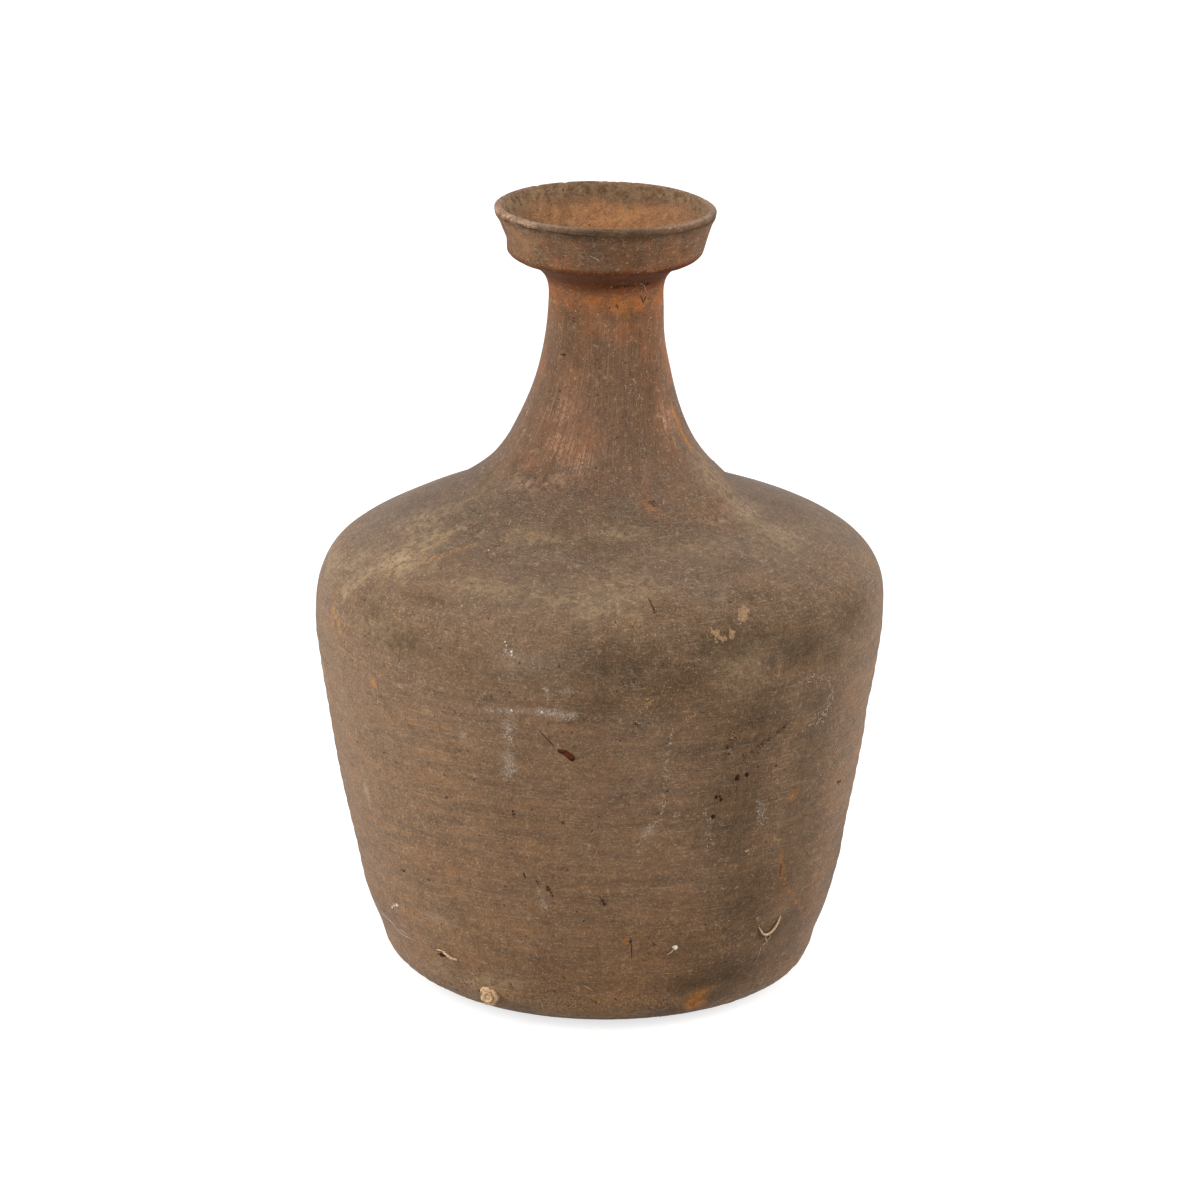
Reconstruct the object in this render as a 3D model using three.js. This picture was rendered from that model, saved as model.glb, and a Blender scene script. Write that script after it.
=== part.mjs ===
// Terracotta wine jug, put together the way a potter puts one together: five thrown sections, each set into
// the bevelled rim of the section below it, with a strip of soft clay pressed over every seam from inside.
// Millimetres, +Z up, origin at the centre of the flat that the jug stands on.
import * as THREE from "three";

// Outer radii, from the ground up
const BASE_RADIUS = 72; // flat that the jug stands on
const HEEL_RADIUS = 112.5; // rim of the base bowl
const BELLY_RADIUS = 143; // widest ring
const ROOT_RADIUS = 98; // foot of the neck
const WAIST_RADIUS = 28.5; // narrowest ring, under the mouth cup
const CUP_FLOOR_RADIUS = 46.5; // outer end of the cup's underside
const CUP_FOOT_RADIUS = 49.5; // bottom of the cup's side
const LIP_RADIUS = 55.2; // outside of the lip

// Heights of the stretches between those rings
const HEEL_HEIGHT = 38;
const WALL_HEIGHT = 146;
const SHOULDER_RISE = 58.4;
const NECK_HEIGHT = 112.2;
const FLARE_RISE = 20.9;
const CORNER_RISE = 5.6;
const CUP_WALL_HEIGHT = 18.9;

// Thickness of the clay
const FLOOR_THICKNESS = 10;
const WALL_THICKNESS = 8;
const ROOT_THICKNESS = 6.5;
const NECK_THICKNESS = 7;
const LIP_THICKNESS = 4.2;

// Joints: each rim is bevelled, falling towards the inside, and the next section sits in the bevel
const BEVEL_FALL = 5;
const ROOT_BEVEL_RUN = 5.5;
const WALL_OVERHANG = 2.7; // the wall's foot stands this far outside the base bowl's rim
const SEAM_GAP = 0.3;
const LUTE_THICKNESS = 2.6;
const LUTE_EDGE = 0.8;

// Fineness of the faceted surfaces
const TURN_STEPS = 48;
const HEEL_STEPS = 7;
const WALL_STEPS = 8;
const SHOULDER_STEPS = 10;
const NECK_STEPS = 11;
const FLARE_STEPS = 6;
const CORNER_STEPS = 3;
const CUP_WALL_STEPS = 3;
const LIP_STEPS = 6;
const THROAT_STEPS = 12;

// How each stretch bows: its two handles, as shares of the stretch's run and of its rise
const WALL_BOW = { near: [0.34, 0.16], far: [0.81, 0.76] };
const SHOULDER_BOW = { near: [0, 0.56], far: [0, 0.67] };
const NECK_BOW = { near: [0.71, 0.126], far: [0.97, 0.51] };
const FLARE_BOW = { near: [0, 0.46], far: [0.13, 0.72] };
const CORNER_BOW = { near: [0.46, 0.07], far: [0.73, 0.52] };
const CUP_WALL_BOW = { near: [0.3, 0.33], far: [0.6, 0.67] };
const THROAT_BOW = { near: [0, 0.71], far: [0.74, 0.375] };

// Fired clay, browner on the body and redder towards the mouth
const clay = (color) => new THREE.MeshStandardMaterial({ color, roughness: 0.88, metalness: 0 });
const BROWN_CLAY = clay(0x7a604b);
const RED_CLAY = clay(0x8a6244);
const LUTE_CLAY = clay(0x9a6a45);

// A profile point: distance from the axis and height
const at = (radius, height) => new THREE.Vector2(radius, height);

// The point that lies the given shares of the run and of the rise on the way from start to end
function between(start, end, [run, rise]) {
  return at(
    THREE.MathUtils.lerp(start.x, end.x, run),
    THREE.MathUtils.lerp(start.y, end.y, rise),
  );
}

// Points of a smooth stretch of profile from start to end
function stretch(start, end, bow, steps) {
  const near = between(start, end, bow.near);
  const far = between(start, end, bow.far);
  return new THREE.CubicBezierCurve(start, near, far, end).getSpacedPoints(steps);
}

// Points of a quarter round that leaves start level and reaches end upright
function quarterRound(start, end, steps) {
  return new THREE.QuadraticBezierCurve(start, at(end.x, start.y), end).getSpacedPoints(steps);
}

// A bevelled rim: its outer edge, and its inner edge lower down
function bevel(outer, run, fall) {
  return { outer, inner: at(outer.x - run, outer.y - fall) };
}

// The underside of the section that sits in a bevel, one seam above it
function seated(rim) {
  const lift = at(0, SEAM_GAP);
  return { outer: rim.outer.clone().add(lift), inner: rim.inner.clone().add(lift) };
}

// A section's closed outline: up the outside, over the top and down the inside
function outline(outside, inside) {
  return [...outside, ...inside.toReversed(), outside[0]];
}

// A named solid turned about the jug's axis
function turned(name, profile, material) {
  const geometry = new THREE.LatheGeometry(profile, TURN_STEPS).rotateX(Math.PI / 2);
  const mesh = new THREE.Mesh(geometry, material);
  mesh.name = name;
  return mesh;
}

// Heights of the rings above the ground
const bellyZ = HEEL_HEIGHT + WALL_HEIGHT;
const rootZ = bellyZ + SHOULDER_RISE;
const waistZ = rootZ + NECK_HEIGHT;
const cupFloorZ = waistZ + FLARE_RISE;
const cupFootZ = cupFloorZ + CORNER_RISE;
const lipZ = cupFootZ + CUP_WALL_HEIGHT - LIP_THICKNESS / 2;

// The four bevelled rims that carry the section above
const heelRim = bevel(at(HEEL_RADIUS, HEEL_HEIGHT), WALL_THICKNESS, BEVEL_FALL);
const bellyRim = bevel(at(BELLY_RADIUS, bellyZ), WALL_THICKNESS, BEVEL_FALL);
const rootRim = bevel(at(ROOT_RADIUS, rootZ), ROOT_BEVEL_RUN, ROOT_THICKNESS);
const waistRim = bevel(at(WAIST_RADIUS, waistZ), NECK_THICKNESS, BEVEL_FALL);

// Base bowl: a flat floor turned up into a rounded heel
const baseOutside = quarterRound(at(BASE_RADIUS, 0), heelRim.outer, HEEL_STEPS);
const baseInside = quarterRound(at(BASE_RADIUS, FLOOR_THICKNESS), heelRim.inner, HEEL_STEPS);
const baseProfile = [at(0, 0), ...baseOutside, ...baseInside.toReversed(), at(0, FLOOR_THICKNESS)];

// Body wall: leans out to the belly, with a chamfered foot that overhangs the base bowl
const wallFoot = seated(heelRim);
const wallEdge = wallFoot.outer.clone().addScalar(WALL_OVERHANG);
const wallOutside = [wallFoot.outer, ...stretch(wallEdge, bellyRim.outer, WALL_BOW, WALL_STEPS)];
const wallInside = stretch(wallFoot.inner, bellyRim.inner, WALL_BOW, WALL_STEPS);

// Shoulder dome: turns over from the belly to the foot of the neck
const shoulderFoot = seated(bellyRim);
const shoulderOutside = stretch(shoulderFoot.outer, rootRim.outer, SHOULDER_BOW, SHOULDER_STEPS);
const shoulderInside = stretch(shoulderFoot.inner, rootRim.inner, SHOULDER_BOW, SHOULDER_STEPS);

// Neck: sweeps up from the shoulder to the waist
const neckFoot = seated(rootRim);
const neckOutside = stretch(neckFoot.outer, waistRim.outer, NECK_BOW, NECK_STEPS);
const neckInside = stretch(neckFoot.inner, waistRim.inner, NECK_BOW, NECK_STEPS);

// Mouth cup: flared underside, rounded corner, leaning side and round lip, with a funnel throat inside
const cupFoot = seated(waistRim);
const cupFloor = at(CUP_FLOOR_RADIUS, cupFloorZ);
const cupCorner = at(CUP_FOOT_RADIUS, cupFootZ);
const lipOuter = at(LIP_RADIUS, lipZ);
const lipInner = at(LIP_RADIUS - LIP_THICKNESS, lipZ);
const lipArc = new THREE.EllipseCurve(
  LIP_RADIUS - LIP_THICKNESS / 2,
  lipZ,
  LIP_THICKNESS / 2,
  LIP_THICKNESS / 2,
  0,
  Math.PI,
).getSpacedPoints(LIP_STEPS);
const cupOutside = [
  ...stretch(cupFoot.outer, cupFloor, FLARE_BOW, FLARE_STEPS),
  ...stretch(cupFloor, cupCorner, CORNER_BOW, CORNER_STEPS).slice(1),
  ...stretch(cupCorner, lipOuter, CUP_WALL_BOW, CUP_WALL_STEPS).slice(1),
  ...lipArc.slice(1, -1),
];
const cupInside = stretch(cupFoot.inner, lipInner, THROAT_BOW, THROAT_STEPS);

// A strip of clay over the inside of a seam, from the last facet below it to the first facet above it,
// thick along the seam and smeared thin at both edges
function lute(name, below, above) {
  const path = [below.at(-2), below.at(-1), above[0], above[1]];
  const thickness = [LUTE_EDGE, LUTE_THICKNESS, LUTE_THICKNESS, LUTE_EDGE];
  const raised = (depth) =>
    path.map((p, i) => {
      const before = path[Math.max(i - 1, 0)];
      const after = path[Math.min(i + 1, path.length - 1)];
      const along = after.clone().sub(before).normalize();
      return p.clone().addScaledVector(at(-along.y, along.x), depth(i));
    });
  const back = raised(() => SEAM_GAP);
  const face = raised((i) => SEAM_GAP + thickness[i]);
  return turned(name, outline(back, face), LUTE_CLAY);
}

const jug = new THREE.Group();
jug.name = "wine_jug";
jug.add(
  turned("base_bowl", baseProfile, BROWN_CLAY),
  turned("body_wall", outline(wallOutside, wallInside), BROWN_CLAY),
  turned("shoulder_dome", outline(shoulderOutside, shoulderInside), BROWN_CLAY),
  turned("neck", outline(neckOutside, neckInside), RED_CLAY),
  turned("mouth_cup", outline(cupOutside, cupInside), RED_CLAY),
  lute("heel_lute", baseInside, wallInside),
  lute("belly_lute", wallInside, shoulderInside),
  lute("root_lute", shoulderInside, neckInside),
  lute("waist_lute", neckInside, cupInside),
);

export default jug;
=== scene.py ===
"""Terracotta wine jug: its turned sections with their finish, what has stuck to them, and a plain studio."""
import functools
import itertools
import math

import bpy
import numpy as np
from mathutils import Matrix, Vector


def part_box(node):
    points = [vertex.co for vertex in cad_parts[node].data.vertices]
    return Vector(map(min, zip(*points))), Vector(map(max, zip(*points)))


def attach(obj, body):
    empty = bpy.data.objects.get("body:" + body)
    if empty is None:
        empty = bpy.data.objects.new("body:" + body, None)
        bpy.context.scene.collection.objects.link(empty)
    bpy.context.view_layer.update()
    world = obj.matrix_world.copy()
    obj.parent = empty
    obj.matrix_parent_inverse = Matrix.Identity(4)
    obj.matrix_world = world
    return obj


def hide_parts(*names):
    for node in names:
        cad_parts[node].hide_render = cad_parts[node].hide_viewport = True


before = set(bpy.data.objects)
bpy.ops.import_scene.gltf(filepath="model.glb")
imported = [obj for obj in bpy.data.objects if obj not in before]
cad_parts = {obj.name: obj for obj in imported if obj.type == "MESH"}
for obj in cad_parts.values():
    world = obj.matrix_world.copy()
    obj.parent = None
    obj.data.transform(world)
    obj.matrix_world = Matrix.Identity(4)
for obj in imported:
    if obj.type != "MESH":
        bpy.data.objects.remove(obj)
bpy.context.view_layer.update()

MM = 0.001

# Fineness of the turned surfaces
TURN_STEPS = 640
FINE_ROW = 1.3 * MM
CUP_ROW = 0.85 * MM
HIDDEN_ROW = 8.0 * MM
CORNER_TURN = math.radians(40)

# Named heights, from the frame
HEEL_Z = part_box("base_bowl")[1].z
BELLY_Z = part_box("body_wall")[1].z
ROOT_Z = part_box("shoulder_dome")[1].z
WAIST_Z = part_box("neck")[1].z
LIP_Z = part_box("mouth_cup")[1].z
CUP_FOOT_Z = LIP_Z - 22 * MM

SECTIONS = ("base_bowl", "body_wall", "shoulder_dome", "neck", "mouth_cup")
LUTES = ("heel_lute", "belly_lute", "root_lute", "waist_lute")

# How the real pot departs from a true turned form
NECK_LEAN = 3.6 * MM  # the mouth stands this far to the right of the body
MOUTH_TIP = math.radians(1.25)  # the mouth's right side is lower
MOUTH_FRONT = 1.4 * MM  # the front of the lip is this much higher than a level one
MOUTH_BACK = 0.7 * MM  # and the back is this much lower
ROOT_TIP = math.radians(2.0)  # the right side of the neck's foot is lower
BASE_SHIFT = 2.2 * MM  # the flat that it stands on lies to the right
OVALITY = 0.3 * MM
OVAL_TURN = 0.7  # radians from the front to the long axis
WAVE = 0.3 * MM
FINGER_RIDGE = 0.13 * MM
FINGER_PITCH = 8.0  # mm that the potter's fingers climbed in one turn
# Swellings and hollows: degrees, mm, half angle, half height mm, amount mm
SWELLINGS = [
    (-90, 279, 60, 8, -1.0), (-90, 267, 60, 8, -1.5), (-125, 257, 35, 9, -1.9), (-140, 243, 25, 4, 1.0),
    (-115, 236, 30, 8, -0.4), (-90, 236, 50, 20, -0.9), (-90, 213, 50, 10, -0.8), (-90, 115, 55, 40, 1.2),
    (-90, 54, 50, 10, 0.6), (-90, 30, 50, 10, -1.3), (-45, 11, 35, 12, -2.0), (-90, 377, 45, 3, 1.0),
    (-90, 384, 45, 3, -0.5), (-90, 397, 40, 5, 0.8), (90, 333, 60, 13, -1.0), (90, 276, 60, 12, -0.7),
    (120, 262, 40, 4, 0.7), (130, 241, 25, 5, -1.8), (90, 238, 40, 12, -1.4), (90, 206, 50, 12, 0.9),
    (90, 143, 50, 9, -0.6), (90, 62, 50, 14, 1.1), (90, 27, 45, 8, -1.1),
]
HEEL_LUMPS = 0.25 * MM
FOOT_LUMPS = 0.35 * MM
CUP_LUMPS = 0.22 * MM  # inside the mouth cup
LIP_CHIP = 1.5 * MM
LIP_CHIP_AT = -47  # degrees
LIP_NICKS = 0.9 * MM
LIP_GROOVE = 0.35 * MM
LIP_LUMP = 0.8 * MM
LIP_LUMP_AT = -177  # degrees
LIP_SAGS = ((115, 0.7), (-115, 0.2))  # degrees and mm
LIP_SAG_SPAN = 22  # degrees
SEAM_SPANS = (17 * MM, 6 * MM, 4 * MM, 5 * MM)  # how far each seam was smoothed, from the heel up

# Random numbers that the mottling is made from
LATTICE_CELLS = 64
LATTICE = np.random.default_rng(3).uniform(-1.0, 1.0, (LATTICE_CELLS,) * 3)
SEED_SHIFT = 7.31  # cells from one seed's mottling to the next


def smooth(value, low, high):
    """0 below low, 1 above high, with a soft step between."""
    t = np.clip((value - low) / (high - low), 0.0, 1.0)
    return t * t * (3.0 - 2.0 * t)


def hump(value, middle, half_width):
    """A soft bump of height 1."""
    return np.exp(-(((value - middle) / half_width) ** 2))


def plateau(value, rise, fall):
    """1 between a soft step up and a soft step down, and 0 beyond them."""
    return smooth(value, *rise) * (1.0 - smooth(value, *fall))


def degrees_apart(azimuth, middle):
    """Signed angle from middle to azimuth, in degrees."""
    return (np.degrees(azimuth) - middle + 180.0) % 360.0 - 180.0


def mottle(points, size, seed):
    """Smooth noise between -1 and 1, with blobs of the given size."""
    cell = points / size + SEED_SHIFT * seed
    low = np.floor(cell).astype(int)
    t = smooth(cell - low, 0.0, 1.0)
    total = np.zeros(len(points))
    for corner in itertools.product((0, 1), repeat=3):
        weight = np.where(corner, t, 1.0 - t).prod(axis=1)
        i, j, k = ((low + corner) % LATTICE_CELLS).T
        total += weight * LATTICE[i, j, k]
    return total


def azimuth_of(points):
    """Angle about the jug's axis: 0 at the front, growing to the right."""
    return np.arctan2(points[:, 0], -points[:, 1])


def radius_of(points):
    """Distances from the jug's axis."""
    return np.hypot(points[:, 0], points[:, 1])


def outward_of(points):
    """Unit directions away from the axis."""
    flat = points * (1.0, 1.0, 0.0)
    return flat / np.maximum(np.linalg.norm(flat, axis=1, keepdims=True), 1e-9)


def settle(points):
    """Moves points of the true turned form to where the hand-made pot has them."""
    z = points[:, 2]
    azimuth = azimuth_of(points)
    degrees = np.degrees(azimuth)
    radius = radius_of(points)
    out = outward_of(points)

    grow = OVALITY * np.cos(2.0 * (azimuth - OVAL_TURN)) * smooth(radius, 20 * MM, 120 * MM)
    grow += WAVE * mottle(points, 45 * MM, 1) + 0.5 * WAVE * mottle(points, 17 * MM, 2)
    turn = z / MM + FINGER_PITCH * azimuth / (2.0 * math.pi)
    ridge = np.sin(turn * 2.0 * math.pi / FINGER_PITCH + 2.0 * mottle(points, 60 * MM, 3))
    on_wall = plateau(z, (HEEL_Z, HEEL_Z + 20 * MM), (BELLY_Z - 5 * MM, BELLY_Z + 15 * MM))
    grow += FINGER_RIDGE * ridge * on_wall
    for middle, height, half_angle, half_height, amount in SWELLINGS:
        swell = hump(degrees_apart(azimuth, middle), 0, half_angle) * hump(z / MM, height, half_height)
        grow += amount * MM * swell
    grow += HEEL_LUMPS * mottle(points, 3.5 * MM, 5) * (1.0 - smooth(z, 15 * MM, 40 * MM))
    grow += FOOT_LUMPS * mottle(points, 2.6 * MM, 6) * hump(z, 9 * MM, 9 * MM)
    in_cup = smooth(z, CUP_FOOT_Z - 12 * MM, CUP_FOOT_Z) * (1.0 - smooth(radius, 49 * MM, 51 * MM))
    grow += CUP_LUMPS * mottle(points, 4 * MM, 7) * in_cup
    grow *= smooth(z, -1 * MM, 6 * MM)

    moved = points + out * grow[:, None]
    moved[:, 0] += NECK_LEAN * smooth(z, ROOT_Z + 18 * MM, WAIST_Z - 8 * MM)
    moved[:, 2] -= moved[:, 0] * math.tan(ROOT_TIP) * hump(z, ROOT_Z + 15 * MM, 12 * MM)
    forward = 0.5 + 0.5 * np.cos(azimuth)
    up_cup = smooth(z, CUP_FOOT_Z, LIP_Z)
    moved[:, 2] += (MOUTH_FRONT * forward - MOUTH_BACK * (1.0 - forward)) * up_cup
    sag = sum(depth * hump(degrees, middle, LIP_SAG_SPAN) for middle, depth in LIP_SAGS)
    moved[:, 2] -= sag * MM * up_cup
    moved[:, 0] += BASE_SHIFT * (1.0 - smooth(z, 2 * MM, 18 * MM))
    moved[:, 2] -= moved[:, 0] * math.tan(MOUTH_TIP) * smooth(z, WAIST_Z, LIP_Z)

    chip = hump(degrees_apart(azimuth, LIP_CHIP_AT), 0, 9) * (0.7 + 0.6 * mottle(points, 3 * MM, 4))
    edge = smooth(z, LIP_Z - 2.6 * MM, LIP_Z) * smooth(radius, 52 * MM, 54 * MM)
    moved[:, 2] -= LIP_CHIP * np.clip(chip, 0, 1) * edge
    nicks = np.clip(mottle(points, 2.4 * MM, 8) - 0.3, 0.0, 1.0)
    moved[:, 2] -= LIP_NICKS * nicks * smooth(z, LIP_Z - 1.5 * MM, LIP_Z)
    groove = hump(z, LIP_Z - 3.2 * MM, 0.9 * MM) * smooth(radius, 50 * MM, 52 * MM)
    moved -= out * (LIP_GROOVE * groove)[:, None]
    lump = hump(degrees_apart(azimuth, LIP_LUMP_AT), 0, 2.0) * smooth(z, LIP_Z - 4 * MM, LIP_Z - MM)
    moved -= out * (LIP_LUMP * lump)[:, None]
    return moved


def section_outline(node):
    """A CAD section's outline in the plane y = 0, from its lowest point outwards, as (radius, height)."""
    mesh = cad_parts[node].data
    place = {}
    for vertex in mesh.vertices:
        x, y, z = vertex.co
        if abs(y) < 1e-6 and x > -1e-6:
            place[vertex.index] = (round(max(x, 0.0), 6), round(z, 6))
    links = {point: set() for point in place.values()}
    for edge in mesh.edges:
        a, b = (place.get(i) for i in edge.vertices)
        if a and b and a != b:
            links[a].add(b)
            links[b].add(a)
    path = [min(links, key=lambda point: (point[1], point[0]))]
    while ahead := [point for point in links[path[-1]] if point not in path]:
        path.append(max(ahead))
    if path[0] in links[path[-1]] and path[0][0] > 0:
        path.append(path[0])
    return np.array(path)


def corners_of(outline):
    """Places in an outline where it turns sharply, with both ends."""
    along = np.diff(outline, axis=0)
    heading = np.arctan2(along[:, 1], along[:, 0])
    turn = np.abs((np.diff(heading) + math.pi) % (2.0 * math.pi) - math.pi)
    return [0, *(np.flatnonzero(turn > CORNER_TURN) + 1), len(outline) - 1]


def smooth_run(points, spacing):
    """Points at an even spacing on a smooth curve through the given points."""
    if len(points) < 3:
        count = max(2, int(np.linalg.norm(points[-1] - points[0]) / spacing) + 1)
        return np.linspace(points[0], points[-1], count)
    step = np.linalg.norm(np.diff(points, axis=0), axis=1)[:, None]
    slope = np.diff(points, axis=0) / step
    middle = (slope[:-1] * step[1:] + slope[1:] * step[:-1]) / (step[:-1] + step[1:])
    first = 1.5 * slope[:1] - 0.5 * middle[:1]
    last = 1.5 * slope[-1:] - 0.5 * middle[-1:]
    tangent = np.concatenate([first, middle, last])
    reach = np.concatenate([[0.0], np.cumsum(step[:, 0])])
    target = np.linspace(0.0, reach[-1], max(3, int(reach[-1] / spacing) + 1))
    i = np.clip(np.searchsorted(reach, target, side="right") - 1, 0, len(step) - 1)
    t = ((target - reach[i]) / step[i, 0])[:, None]
    h = step[i]
    start = points[i] * (2 * t**3 - 3 * t**2 + 1) + tangent[i] * h * (t**3 - 2 * t**2 + t)
    end = points[i + 1] * (3 * t**2 - 2 * t**3) + tangent[i + 1] * h * (t**3 - t**2)
    return start + end


def finer_outline(node):
    """The section's outline with smooth curves between its corners, fine where it shows."""
    outline = section_outline(node)
    corners = corners_of(outline)
    runs = []
    for a, b in zip(corners[:-1], corners[1:]):
        shows = node not in LUTES and outline[b][1] > outline[a][1]
        spacing = CUP_ROW if node == "mouth_cup" else FINE_ROW if shows else HIDDEN_ROW
        runs.append(smooth_run(outline[a : b + 1], spacing)[:-1])
    return np.concatenate([*runs, outline[-1:]])


OUTLINES = {node: finer_outline(node) for node in SECTIONS + LUTES}


def wipe_seam(below, above, span):
    """Sets a section's foot on the rim below and smooths the outside across the seam, as a thumb does."""
    rim = OUTLINES[below]
    foot = OUTLINES[above]
    top = int(np.argmax(rim[:, 1]))
    seam_z = rim[top, 1]
    away = np.linalg.norm(foot - rim[top], axis=1)
    first = int(np.argmin(away))
    foot[:, 1] -= (foot[first, 1] - seam_z) * np.exp(-away / (4 * MM))
    outside = slice(first, int(np.argmax(foot[:, 1])) + 1)
    radius, z = np.concatenate([rim[: top + 1], foot[outside][1:]]).T
    low, high = seam_z - span, seam_z + span
    step = MM / 4
    ends = np.interp([low, high], z, radius)
    ahead = np.interp([low + step, high + step], z, radius)
    behind = np.interp([low - step, high - step], z, radius)
    slopes = (ahead - behind) / (2 * step)

    def wiped(points):
        t = np.clip((points[:, 1] - low) / (2 * span), 0.0, 1.0)
        curve = ends[0] * (2 * t**3 - 3 * t**2 + 1) + ends[1] * (3 * t**2 - 2 * t**3)
        curve += 2 * span * (slopes[0] * (t**3 - 2 * t**2 + t) + slopes[1] * (t**3 - t**2))
        return np.where((t > 0) & (t < 1), curve, points[:, 0])

    rim[: top + 1, 0] = wiped(rim[: top + 1])
    foot[outside, 0] = wiped(foot[outside])


def outer_profile():
    """The whole outside as points (radius, height) that rise."""
    rising = []
    for node in SECTIONS:
        outline = OUTLINES[node]
        for point in outline[: int(np.argmax(outline[:, 1])) + 1]:
            if not rising or point[1] > rising[-1][1] + 1e-6:
                rising.append(point)
    return np.array(rising)


for below, above, span in zip(SECTIONS[:-1], SECTIONS[1:], SEAM_SPANS):
    wipe_seam(below, above, span)
OUTLINES["base_bowl"][:, 1] = np.maximum(OUTLINES["base_bowl"][:, 1], 0.0)
OUTSIDE = outer_profile()


def outer_radius(z):
    """Radius of the true outside at a height."""
    return np.interp(z, OUTSIDE[:, 1], OUTSIDE[:, 0])


def surface(azimuth_degrees, height_mm):
    """Points of the true outside, with the directions round it, up it and out of it."""
    azimuth = np.radians(np.atleast_1d(np.asarray(azimuth_degrees, float)))
    z = np.atleast_1d(np.asarray(height_mm, float)) * MM
    lean = (outer_radius(z + MM) - outer_radius(z - MM)) / (2.0 * MM)
    level = np.zeros_like(azimuth)
    away = np.stack([np.sin(azimuth), -np.cos(azimuth), level], axis=1)
    around = np.stack([np.cos(azimuth), np.sin(azimuth), level], axis=1)
    upright = np.array([0.0, 0.0, 1.0])
    rise = away * lean[:, None] + upright
    rise /= np.linalg.norm(rise, axis=1, keepdims=True)
    out = np.cross(around, rise)
    point = away * outer_radius(z)[:, None] + z[:, None] * upright
    return point, around, rise, out


def patches(points, spots, ragged, size, seed):
    """Strength of soft spots of staining and of painted light and shade at each point. A spot is degrees, mm,
    half width, half height, strength.
    """
    total = np.zeros(len(points))
    edge = np.exp(ragged * (mottle(points, size, seed) + 0.5 * mottle(points, size / 3.0, seed + 1)))
    low, high = points[:, 2].min() / MM, points[:, 2].max() / MM
    for azimuth, height, half_width, half_height, strength in spots:
        if not low - 4 * half_height < height < high + 4 * half_height:
            continue
        centre, around, rise, out = (part[0] for part in surface(azimuth, height))
        offset = points - centre
        across = (offset @ around) / (half_width * MM)
        along = (offset @ rise) / (half_height * MM)
        this_side = smooth(offset @ out, -80 * MM, -40 * MM)
        total = np.maximum(total, strength * this_side * np.exp(-(across**2 + along**2) * edge))
    return np.clip(total, 0.0, 1.0)


def on_pot(path):
    """A line's points on the outside, and how far along the line each one lies."""
    point = surface(path[:, 0], path[:, 1])[0]
    return point, np.concatenate([[0], np.cumsum(np.linalg.norm(np.diff(point, axis=0), axis=1))])


def stroke(path, half_width, half_height, strength):
    """Spots that follow a line of (degrees, mm) places."""
    path = np.array(path, float)
    _, reach = on_pot(path)
    at = np.arange(0.0, reach[-1], min(half_width, half_height) * MM)
    places = zip(np.interp(at, reach, path[:, 0]), np.interp(at, reach, path[:, 1]))
    return [(azimuth, z, half_width, half_height, strength) for azimuth, z in places]
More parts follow.
